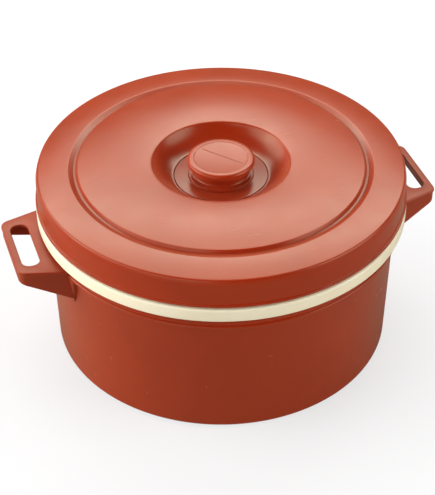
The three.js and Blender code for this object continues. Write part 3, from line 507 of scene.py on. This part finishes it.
def directions_round(outlines, middle, steps):
    """Directions from the middle to points spread round rounded outlines, each taken once."""
    angles = []
    for polygon, rounding in outlines:
        neighbours = zip(np.roll(polygon, 1, 0), polygon, np.roll(polygon, -1, 0))
        for before, corner, after in neighbours:
            first = math.atan2(-(corner - before)[0], (corner - before)[1])
            last = math.atan2(-(after - corner)[0], (after - corner)[1])
            last += 2 * math.pi if last < first else 0
            spots = [(corner, first + (last - first) * k / (steps - 1)) for k in range(steps)]
            shares = [k / SIDE_PARTS for k in range(1, SIDE_PARTS)]
            spots += [(corner + (after - corner) * share, last) for share in shares]
            for spot, turn in spots:
                spot = spot + rounding * np.array([math.cos(turn), math.sin(turn)]) - middle
                angles.append(math.atan2(spot[1], spot[0]))
    angles = np.unique(np.round(np.sort(np.mod(angles, 2 * math.pi)), ANGLE_DIGITS))
    return np.stack([np.cos(angles), np.sin(angles)], 1)


def loops_mesh(name, loops, material, closed_section=True):
    """A mesh from rings of points, one after another, with quads between neighbours."""
    count = len(loops[0])
    points = [tuple(p) for loop in loops for p in loop]
    faces = []
    last = len(loops) if closed_section else len(loops) - 1
    for i in range(last):
        low, high = i * count, (i + 1) % len(loops) * count
        for k in range(count):
            after = (k + 1) % count
            faces.append((low + k, low + after, high + after, high + k))
    if not closed_section:
        faces.append(tuple(range(count))[::-1])
        faces.append(tuple(range((len(loops) - 1) * count, len(loops) * count)))
    mesh = bpy.data.meshes.new(name)
    mesh.from_pydata([tuple(c * MM for c in p) for p in points], [], faces)
    mesh.materials.append(material)
    piece = bpy.data.objects.new(name, mesh)
    bpy.context.scene.collection.objects.link(piece)
    return apply_modifiers(piece)


def quarter(steps):
    """Sine and one minus cosine over a quarter turn, for rounding an edge."""
    turns = [math.pi / 2 * k / steps for k in range(steps + 1)]
    return [(math.sin(t), 1 - math.cos(t)) for t in turns]


def handle_tray(name):
    """The handle's plate, lip and skirt with its slot, as one skin of rings round the slot."""
    middle = np.array([SLOT_MIDDLE, 0.0])
    directions = directions_round((plate_outline, slot_outline), middle, CORNER_STEPS)

    def ring(outline, inset, height):
        line = level_line(outline, inset, middle, directions)
        heights = height(line[:, 0]) if callable(height) else np.full(len(line), height)
        return np.column_stack([line, heights])

    def bottom(rise):
        """The skirt's lower edge, which falls towards the tub, and a rise over it."""
        return lambda x: PLATE_TOP - TIP_DEPTH - SLOPE * (TIP - x) + rise

    under, inner = PLATE_TOP - PLATE, LIP + SKIRT
    # Each row is an edge to round: its outline, its steps, and where its rings lie, inset and
    # height, from the sine and one minus the cosine of a quarter turn.
    edges = (
        # the slot's upper edge
        (slot_outline, 4, lambda s, c: (-SLOT_EDGE * c, PLATE_TOP - SLOT_EDGE * (1 - s))),
        # the plate's top edge
        (plate_outline, 5, lambda s, c: (TOP_EDGE * (1 - s), PLATE_TOP - TOP_EDGE * c)),
        # the lip's lower edge
        (plate_outline, 3, lambda s, c: (LIP_EDGE * c, under + LIP_EDGE * (1 - s))),
        # the crease between lip and skirt
        (plate_outline, 2, lambda s, c: (LIP - FILLET * (1 - s), under - FILLET * c)),
        # the skirt's lower edge, its outer and its inner half
        (plate_outline, 4, lambda s, c: (LIP + SKIRT_EDGE * c, bottom(SKIRT_EDGE * (1 - s)))),
        (plate_outline, 4, lambda s, c: (inner - SKIRT_EDGE * (1 - s), bottom(SKIRT_EDGE * c))),
        # the corner between the skirt and the plate's underside
        (plate_outline, 3, lambda s, c: (inner + SLOT_EDGE * c, under - SLOT_EDGE * (1 - s))),
        # the slot's lower edge
        (slot_outline, 4, lambda s, c: (-SLOT_EDGE * (1 - s), under + SLOT_EDGE * c)),
    )
    rings = [
        ring(outline, *place(s, c)) for outline, steps, place in edges for s, c in quarter(steps)
    ]
    return loops_mesh(name, rings, dull_plastic)


def wall_radius(height):
    """The tub wall's outer radius, which grows from its foot to the collar."""
    share = (height - WALL_FOOT) / (COLLAR_UNDERSIDE - WALL_FOOT)
    return WALL_LOW + (WALL_HIGH - WALL_LOW) * share


def root_pad(name):
    """The wedge-shaped pad that lies on the tub's wall under the collar."""
    flare = (PAD_HALF_WIDTH - PAD_FOOT_HALF_WIDTH) / (PAD_TOP - PAD_FOOT)
    low, high = PAD_FOOT + PAD_CORNER, PAD_TOP + PAD_OVERLAP - PAD_CORNER
    narrow, wide = (
        PAD_FOOT_HALF_WIDTH + flare * (height - PAD_FOOT) - PAD_CORNER * math.hypot(1, flare)
        for height in (low, high)
    )
    corners = np.array([(-narrow, low), (narrow, low), (wide, high), (-wide, high)])
    outline = (corners, PAD_CORNER)
    middle = np.array([0.0, (low + high) / 2])
    directions = directions_round((outline,), middle, PAD_CORNER_STEPS)

    def ring(inset, sink, scale=1.0):
        line = middle + (level_line(outline, inset, middle, directions) - middle) * scale
        share = (line[:, 1] - PAD_FOOT) / (PAD_TOP - PAD_FOOT)
        thick = PAD_FOOT_THICKNESS + (PAD_THICKNESS - PAD_FOOT_THICKNESS) * np.clip(share, 0, 1)
        radius = wall_radius(line[:, 1]) + thick - sink
        return np.column_stack([np.sqrt(radius**2 - line[:, 0] ** 2), line])

    rings = [ring(0, PAD_ROOT, share) for share in PAD_SHARES[::-1]]
    rings.append(ring(0, PAD_ROOT))
    rings += [ring(PAD_EDGE * c, PAD_EDGE * (1 - s)) for s, c in quarter(4)]
    rings += [ring(PAD_EDGE, 0, share) for share in PAD_SHARES]
    return loops_mesh(name, rings, dull_plastic, closed_section=False)


def radial(piece, degrees, height):
    """Lays a turned piece along a radial line of the tub, with its foot on the axis."""
    lie = Matrix.Rotation(math.radians(90), 4, "Y")
    turn = Matrix.Rotation(math.radians(degrees), 4, "Z")
    return moved(piece, turn @ Matrix.Translation((0, 0, height * MM)) @ lie)


def tub_space(name):
    """The room that the tub's wall takes, with a seat gap round it."""
    ledge = COLLAR_UNDERSIDE - SEAT
    corners = [
        (0, 0, 0),
        (WALL_LOW + SEAT, 0, 0),
        (WALL_LOW + SEAT, WALL_FOOT, 0),
        (WALL_HIGH + SEAT, ledge, 0),
        (COLLAR_RADIUS + SEAT, ledge, 0),
        (COLLAR_RADIUS + SEAT, RIM_TOP, 0),
        (0, RIM_TOP, 0),
    ]
    return turned(name, corners, dull_plastic)


def handle(name):
    """The right handle: its tray, pad and bosses joined, less the room of the tub's wall."""
    piece = handle_tray(name)
    boolean(piece, root_pad("pad"), "UNION")
    for degrees in (-SCREW_ANGLE, SCREW_ANGLE):
        corners = [
            (0, ROOT_INSIDE, 0),
            (BOSS_RADIUS, ROOT_INSIDE, 0),
            (BOSS_RADIUS, BOSS_END, BOSS_EDGE),
            (0, BOSS_END, 0),
        ]
        boss = turned("boss", corners, dull_plastic, sides=PLUG_SIDES)
        boolean(piece, radial(boss, degrees, SCREW_HEIGHT), "UNION")
    return boolean(piece, tub_space("space"), "DIFFERENCE")


right_handle = handle("handle_right_moulded")
left_handle = bpy.data.objects.new("handle_left_moulded", right_handle.data.copy())
bpy.context.scene.collection.objects.link(left_handle)
moved(left_handle, Matrix.Rotation(math.pi, 4, "Z"))
for piece, cad_node in ((right_handle, "handle_right"), (left_handle, "handle_left")):
    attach(piece, "tub")
    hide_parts(cad_node)

# Handle screws and washers: pan-head stainless screws driven from inside the wall before the
# foaming. They are sealed in, so their CAD solids are kept, with a plain steel's finish.


def bare_metal(name, colour, shade, roughness):
    """Bare metal with the fine tool marks, about a millimetre apart, that dull its shine."""
    material, tree, shader, place = new_material(name)
    shader.inputs["Metallic"].default_value = 1.0
    lines = noise(tree, place, 900.0, 3.0)
    marks = relief(tree, lines, 0.2, 0.00005)
    finish(tree, shader, toned(tree, lines, colour, shade), ranged(tree, lines, *roughness), marks)
    return material


steel = bare_metal("cold-headed stainless steel", "C9C9C6", "B4B4B1", (0.25, 0.42))
for number in range(1, 5):
    refinish((f"handle_screw_{number}", f"handle_washer_{number}"), steel)

# Lid shell: the thick red polypropylene cap of the lid, injection-moulded in one, with a lip at
# its bottom edge, a shoulder, an outer band, a crease with a small ledge, a slightly domed disc
# and the round well in which the knob stands.
LID_BOTTOM, LID_RADIUS, LIP_RADIUS, LIP_TOP, LIP_SLOPE = 174.4, 195.4, 197.2, 177.2, 0.3
LID_WALL = 3.0
SHOULDER_RADIUS, SHOULDER_TOP, SIDE_TOP = 193.7, 206.4, 200.6
BAND_TOP, BAND_INNER = 208.8, 161.0
CREASE_RADIUS, CREASE_HEIGHT, CREASE_LEDGE = 153.0, 206.2, 2.6
DOME_EDGE, DOME_EDGE_HEIGHT, DOME_CREST, DOME_RISE = 151.4, 210.1, 104.9, 2.2
WELL_RADIUS, WELL_RIM, WELL_CORNER, WELL_DEPTH, WELL_WIDTH = 71.2, 3.5, 74.2, 14.9, 18.9
WELL_TOP_DROP, BOWL_RADIUS, FLOOR_FILLET = 3.0, 40.0, 5.0
REBATE_RADIUS, REBATE_DEPTH, BOLT_HOLE = 50.2, 3.3, 3.3
RIM_SET_BACK = 0.6
CURVE_POINTS = 16
TOP_FROM_EDGE, TOP_FROM_WELL, UNDER_FROM_WELL = 1.5, 2.5, 1.5


def dome_height(radius):
    """Height of the domed disc's top, which is highest near the well's rim."""
    share = (radius - DOME_CREST) / (DOME_EDGE - DOME_CREST)
    return DOME_EDGE_HEIGHT + DOME_RISE - DOME_RISE * share * share


well_wall_top = dome_height(WELL_CORNER) - WELL_TOP_DROP
well_floor = well_wall_top - WELL_DEPTH
rebate_floor = well_floor - REBATE_DEPTH
centre_underside = rebate_floor - LID_WALL
well_slope = math.atan2(WELL_DEPTH, WELL_WIDTH)
well_bend = math.asin(math.hypot(WELL_DEPTH, WELL_WIDTH) / 2 / BOWL_RADIUS)


def bowl(offset):
    """The well's bowl-shaped wall from its top to the floor, or a line an offset below it."""
    steepest = well_slope + well_bend
    radius = WELL_RADIUS - BOWL_RADIUS * math.sin(steepest)
    height = well_wall_top + BOWL_RADIUS * math.cos(steepest)
    size = BOWL_RADIUS + offset
    points = []
    for k in range(CURVE_POINTS + 1):
        turn = steepest - 2 * well_bend * k / CURVE_POINTS
        points.append((radius + size * math.sin(turn), height - size * math.cos(turn), 0))
    return points


well_rim_radius = WELL_RADIUS + WELL_TOP_DROP / math.tan(well_slope + well_bend) - RIM_SET_BACK
top_span = (DOME_EDGE - TOP_FROM_EDGE, WELL_CORNER + TOP_FROM_WELL)
under_span = (WELL_CORNER + UNDER_FROM_WELL, DOME_EDGE - LID_WALL)
dome_top = [(r, dome_height(r), 0) for r in np.linspace(*top_span, CURVE_POINTS)]
dome_under = [(r, dome_height(r) - LID_WALL, 0) for r in np.linspace(*under_span, CURVE_POINTS)]
lid_shell = turned(
    "lid_shell_moulded",
    [
        (BOLT_HOLE, centre_underside, 0),
        (REBATE_RADIUS + LID_WALL, centre_underside, 1.0),
        *bowl(LID_WALL)[::-1],
        *dome_under,
        (CREASE_RADIUS, CREASE_HEIGHT - LID_WALL, 0.5),
        (BAND_INNER, BAND_TOP - LID_WALL, 1.0),
        (LID_RADIUS - LID_WALL, SHOULDER_TOP - LID_WALL, 3.5),
        (LID_RADIUS - LID_WALL, LID_BOTTOM, 0.4),
        (LIP_RADIUS, LID_BOTTOM, 0.8),
        (LIP_RADIUS, LIP_TOP, 0.9),
        (LID_RADIUS, LIP_TOP + LIP_SLOPE, 0.8),
        (LID_RADIUS, SIDE_TOP, 5.0),
        (SHOULDER_RADIUS, SHOULDER_TOP, 2.4),
        (BAND_INNER, BAND_TOP, 3.0),
        (CREASE_RADIUS + CREASE_LEDGE, CREASE_HEIGHT, 1.0),
        (CREASE_RADIUS, CREASE_HEIGHT, 0.8),
        (DOME_EDGE, DOME_EDGE_HEIGHT, 0.9),
        *dome_top,
        (well_rim_radius, dome_height(well_rim_radius), WELL_RIM),
        *bowl(0)[:-1],
        (WELL_RADIUS - WELL_WIDTH, well_floor, FLOOR_FILLET),
        (REBATE_RADIUS, well_floor, 0.4),
        (REBATE_RADIUS, rebate_floor, 0),
        (BOLT_HOLE, rebate_floor, 0),
    ],
    red_plastic,
    closed=True,
)
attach(lid_shell, "lid")
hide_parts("lid_shell")

# Knob: a spool moulded in one with the disc that fills the well's floor, in the same red
# polypropylene. It is hollow below, with a boss that holds the brass insert, and the mould's
# parting line crosses its top as a fine groove.
DISC_RADIUS, DISC_UNDERSIDE = 49.5, well_floor - 3.0
KNOB_TOP, FACE_RADIUS, FACE_STEP = well_floor + 21.6, 28.4, 0.4
CAP_RADIUS, CAP_BOTTOM, CAP_EDGE, CAP_LOWER_EDGE = 35.7, well_floor + 15.0, 4.8, 1.7
WAIST_RADIUS, KNOB_FOOT, KNOB_FOOT_TOP, FOOT_EDGE = 28.0, 34.7, well_floor + 2.4, 1.8
KNOB_FILLET, KNOB_SIDES = 3.4, 160
KNOB_BOSS, KNOB_HOLLOW, HOLLOW_TOP = 8.5, 24.5, CAP_BOTTOM - 1.75
INSERT_HOLE, INSERT_TOP = 5.3, DISC_UNDERSIDE + 12.6
LINE_HALF_LENGTH, LINE_WIDTH, LINE_DEPTH, LINE_TURN, LINE_OFFSET = 26.0, 0.9, 0.45, -50.0, 2.5

knob = turned(
    "knob_moulded",
    [
        (0, INSERT_TOP, 0),
        (INSERT_HOLE, INSERT_TOP, 0.2),
        (INSERT_HOLE, DISC_UNDERSIDE, 0.2),
        (KNOB_BOSS, DISC_UNDERSIDE, 0.3),
        (KNOB_BOSS, HOLLOW_TOP, 1.0),
        (KNOB_HOLLOW, HOLLOW_TOP, 1.0),
        (KNOB_HOLLOW, DISC_UNDERSIDE, 0.3),
        (DISC_RADIUS, DISC_UNDERSIDE, 0.3),
        (DISC_RADIUS, well_floor, 0.4),
        (KNOB_FOOT, well_floor, 0.4),
        (KNOB_FOOT, KNOB_FOOT_TOP, FOOT_EDGE),
        (WAIST_RADIUS, KNOB_FOOT_TOP, KNOB_FILLET),
        (WAIST_RADIUS, CAP_BOTTOM, KNOB_FILLET),
        (CAP_RADIUS, CAP_BOTTOM, CAP_LOWER_EDGE),
        (CAP_RADIUS, KNOB_TOP, CAP_EDGE),
        (FACE_RADIUS + FACE_STEP, KNOB_TOP, 0.3),
        (FACE_RADIUS, KNOB_TOP - FACE_STEP, 0.4),
        (0, KNOB_TOP - FACE_STEP, 0),
    ],
    red_plastic,
    sides=KNOB_SIDES,
)
line_ends = [
    [(end, 0, -LINE_DEPTH), (end, LINE_WIDTH, LINE_DEPTH), (end, -LINE_WIDTH, LINE_DEPTH)]
    for end in (-LINE_HALF_LENGTH, LINE_HALF_LENGTH)
]
parting_line = loops_mesh("parting_line", line_ends, red_plastic, closed_section=False)
place = Matrix.Translation((0, 0, (KNOB_TOP - FACE_STEP) * MM))
place = place @ Matrix.Rotation(math.radians(LINE_TURN), 4, "Z")
place = place @ Matrix.Translation((0, LINE_OFFSET * MM, 0))
boolean(knob, moved(parting_line, place), "DIFFERENCE")
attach(knob, "lid")
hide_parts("knob")

# Lid liner: the cream polypropylene underside of the lid. Its plug enters the pot's mouth, its
# upstand fits inside the lid shell's side, and a small plug closes its foam port.
LINER_WALL, LINER_DECK, LINER_RADIUS, UPSTAND_TOP = 2.6, 175.4, 192.1, 187.0
PLUG_RADIUS, PLUG_BOTTOM, PLUG_CORNER = 160.4, 152.0, 6.0
LID_PLUG_FLANGE = 1.4

liner = turned(
    "lid_liner_moulded",
    [
        (PORT_RADIUS, PLUG_BOTTOM, 0.3),
        (PLUG_RADIUS, PLUG_BOTTOM, PLUG_CORNER),
        (PLUG_RADIUS, LINER_DECK, 0.8),
        (LINER_RADIUS, LINER_DECK, 0.5),
        (LINER_RADIUS, UPSTAND_TOP, 0.5),
        (LINER_RADIUS - LINER_WALL, UPSTAND_TOP, 0.5),
        (LINER_RADIUS - LINER_WALL, LINER_DECK + LINER_WALL, 0.5),
        (PLUG_RADIUS - LINER_WALL, LINER_DECK + LINER_WALL, 1.5),
        (PLUG_RADIUS - LINER_WALL, PLUG_BOTTOM + LINER_WALL, PLUG_CORNER - LINER_WALL),
        (PORT_RADIUS, PLUG_BOTTOM + LINER_WALL, 0),
    ],
    cream_plastic,
    closed=True,
)
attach(liner, "lid")
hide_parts("lid_liner")

flange_top = PLUG_BOTTOM - PLUG_GAP
port_levels = (flange_top - LID_PLUG_FLANGE, flange_top, PLUG_BOTTOM + LINER_WALL)
lid_plug = port_plug("lid_port_plug_moulded", *port_levels, cream_plastic)
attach(lid_plug, "lid")
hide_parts("lid_port_plug")

# Lid seal: a soft ring of translucent white silicone round the liner's plug. Its outer lip is
# turned down and closes on the pot's rim.
SEAL_INNER, SEAL_OUTER, SEAL_TOP, SEAL_MIDDLE, SEAL_BOTTOM = 160.7, 172.2, 175.1, 173.45, 171.8
SEAL_LIP = 2.2


def moulded_silicone(name, colour, shade):
    """Soft silicone: milky, a little see-through, with a cloudy tone and a fine dusty grain."""
    material, tree, shader, place = new_material(name)
    shader.inputs["IOR"].default_value = 1.41
    shader.inputs["Subsurface Weight"].default_value = 0.3
    shader.inputs["Subsurface Scale"].default_value = 0.002
    cloud = noise(tree, place, 60.0)
    dust = relief(tree, noise(tree, place, 900.0), 0.1, 0.0001)
    finish(tree, shader, toned(tree, cloud, colour, shade), ranged(tree, cloud, 0.45, 0.6), dust)
    return material


silicone = moulded_silicone("compression-moulded silicone rubber", "ECE9E1", "DEDBD2")
seal = turned(
    "lid_seal_moulded",
    [
        (SEAL_INNER, SEAL_MIDDLE, 0.4),
        (SEAL_OUTER - SEAL_LIP, SEAL_MIDDLE, 0.3),
        (SEAL_OUTER - SEAL_LIP, SEAL_BOTTOM, 0.6),
        (SEAL_OUTER, SEAL_BOTTOM, 0.8),
        (SEAL_OUTER, SEAL_TOP, 0.6),
        (SEAL_INNER, SEAL_TOP, 0.3),
    ],
    silicone,
    closed=True,
)
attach(seal, "lid")
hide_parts("lid_seal")

# Knob fixing: a turned brass insert in the knob's boss, and a stainless bolt and washer that draw
# the knob down on the lid. They are sealed in by the foam, so their CAD solids are kept.
brass = bare_metal("turned brass", "C9A45A", "B8924A", (0.28, 0.4))
refinish(("knob_insert",), brass)
refinish(("knob_washer", "knob_bolt"), steel)

# Studio: a plain white table, and white everywhere that the camera sees past it. The table can be
# seen through from below, so that the lid's underside shows.
FLOOR_HALF = 6.0
PAPER_WHITE_SHARE = 0.65

floor_mesh = bpy.data.meshes.new("floor")
floor_corners = [(-FLOOR_HALF, -FLOOR_HALF), (FLOOR_HALF, -FLOOR_HALF)]
floor_corners += [(FLOOR_HALF, FLOOR_HALF), (-FLOOR_HALF, FLOOR_HALF)]
floor_mesh.from_pydata([(x, y, 0) for x, y in floor_corners], [], [(0, 1, 2, 3)])
floor = bpy.data.objects.new("floor", floor_mesh)
bpy.context.scene.collection.objects.link(floor)
# Matt white paper gives the eye a white ground with a soft shadow. Other rays find it darker than
# the camera does, so that it doesn't wash out the tub's red from below.
paper = bpy.data.materials.new("matt white table paper")
paper.use_nodes = True
tree = paper.node_tree
surface = tree.nodes["Principled BSDF"]
surface.inputs["Roughness"].default_value = 0.9
surface.inputs["Specular IOR Level"].default_value = 0.1
seen = add_node(tree, "ShaderNodeLightPath").outputs["Is Camera Ray"]
tree.links.new(toned(tree, seen, "8C867A", "EEEEEE"), surface.inputs["Base Color"])
part = add_node(tree, "ShaderNodeMath", {0: seen, 1: PAPER_WHITE_SHARE}, operation="MULTIPLY")
white = add_node(tree, "ShaderNodeEmission", {"Color": (1, 1, 1, 1), "Strength": 1.0})
mixed = {0: part.outputs[0], 1: surface.outputs[0], 2: white.outputs[0]}
shown = add_node(tree, "ShaderNodeMixShader", mixed)
below = add_node(tree, "ShaderNodeNewGeometry").outputs["Backfacing"]
clear = add_node(tree, "ShaderNodeBsdfTransparent")
one_sided = {0: below, 1: shown.outputs[0], 2: clear.outputs[0]}
top_only = add_node(tree, "ShaderNodeMixShader", one_sided)
tree.links.new(top_only.outputs[0], tree.nodes["Material Output"].inputs["Surface"])
floor_mesh.materials.append(paper)

# Softboxes: three broad lamps behind the tub, near enough that the lid's top mirrors them less
# towards its back edge: degrees clockwise from behind the tub as the camera sees it, distance and
# height over the lid of the lower edge, rise in degrees, half the width, and radiance.
SOFTBOXES = (
    (-22, 2.0, 1.32, 12, 0.8, 3.1),
    (22, 2.0, 1.32, 12, 0.8, 3.1),
    (0, 1.8, 1.5, 24, 1.2, 3.1),
)
LID_MIDDLE = Vector((0, 0, 0.205))

for side, away, height, rise, half_width, radiance in SOFTBOXES:
    turn = math.radians(90 - CAMERA_HEADING - side)
    outward = Vector((math.cos(turn), math.sin(turn), 0))
    reach, low_edge = math.hypot(away, height), math.atan2(height, away)
    angles = (low_edge, low_edge + math.radians(rise))
    low, high = [reach * (outward * math.cos(a) + Vector((0, 0, math.sin(a)))) for a in angles]
    softbox = bpy.data.lights.new("softbox", "AREA")
    softbox.shape = "RECTANGLE"
    softbox.size, softbox.size_y = 2 * half_width, (high - low).length
    softbox.energy = radiance * math.pi * softbox.size * softbox.size_y
    lamp = bpy.data.objects.new("softbox", softbox)
    bpy.context.scene.collection.objects.link(lamp)
    middle = (low + high) / 2
    facing = (-middle).to_track_quat("-Z", "Y").to_matrix().to_4x4()
    lamp.matrix_world = Matrix.Translation(LID_MIDDLE + middle) @ facing

# Soft lights round the tub: degrees clockwise from behind it as the camera sees it, degrees up,
# half the width in degrees, and strength. They are soft-edged patches of the studio's dome, and
# are mirrored at a share of their strength, so that they don't burn out the lid in low views.
SOFT_LIGHTS = (
    (0, 46, 18, 0.3),
    (0, 78, 12, 3.2),
    (-75, 18, 24, 4.7),
    (-105, 20, 24, 4.3),
    (105, 18, 24, 5.2),
    (-152, 6, 22, 2.8),
)
CORE_SHARE, EDGE_SHARE = 0.45, 1.35
MIRRORED_SHARE = 0.5

world = bpy.data.worlds.new("studio")
bpy.context.scene.world = world
world.use_nodes = True
tree = world.node_tree
tree.nodes.clear()
outward = add_node(tree, "ShaderNodeTexCoord").outputs["Generated"]
light = 0.0
for side, rise, half_width, strength in SOFT_LIGHTS:
    turn, lift = math.radians(90 - CAMERA_HEADING - side), math.radians(rise)
    towards = (math.cos(lift) * math.cos(turn), math.cos(lift) * math.sin(turn), math.sin(lift))
    facing = {0: outward, 1: towards}
    near = add_node(tree, "ShaderNodeVectorMath", facing, operation="DOT_PRODUCT")
    edge_at = math.cos(math.radians(half_width * EDGE_SHARE))
    core_at = math.cos(math.radians(half_width * CORE_SHARE))
    glow = ranged(tree, near.outputs["Value"], 0.0, strength, edge_at, core_at, "SMOOTHERSTEP")
    light = add_node(tree, "ShaderNodeMath", {0: light, 1: glow}, operation="ADD").outputs[0]
ray = add_node(tree, "ShaderNodeLightPath").outputs
dimming = {0: ray["Is Glossy Ray"], 1: MIRRORED_SHARE - 1, 2: 1.0}
share = add_node(tree, "ShaderNodeMath", dimming, operation="MULTIPLY_ADD").outputs[0]
light = add_node(tree, "ShaderNodeMath", {0: light, 1: share}, operation="MULTIPLY").outputs[0]
dome = add_node(tree, "ShaderNodeBackground", {"Color": (1, 1, 1, 1), "Strength": light})
bright = add_node(tree, "ShaderNodeBackground", {"Color": (1, 1, 1, 1), "Strength": 1.0})
mixed = {0: ray["Is Camera Ray"], 1: dome.outputs[0], 2: bright.outputs[0]}
mix = add_node(tree, "ShaderNodeMixShader", mixed)
add_node(tree, "ShaderNodeOutputWorld", {"Surface": mix.outputs[0]})

scene = bpy.context.scene
scene.view_settings.view_transform = "Standard"
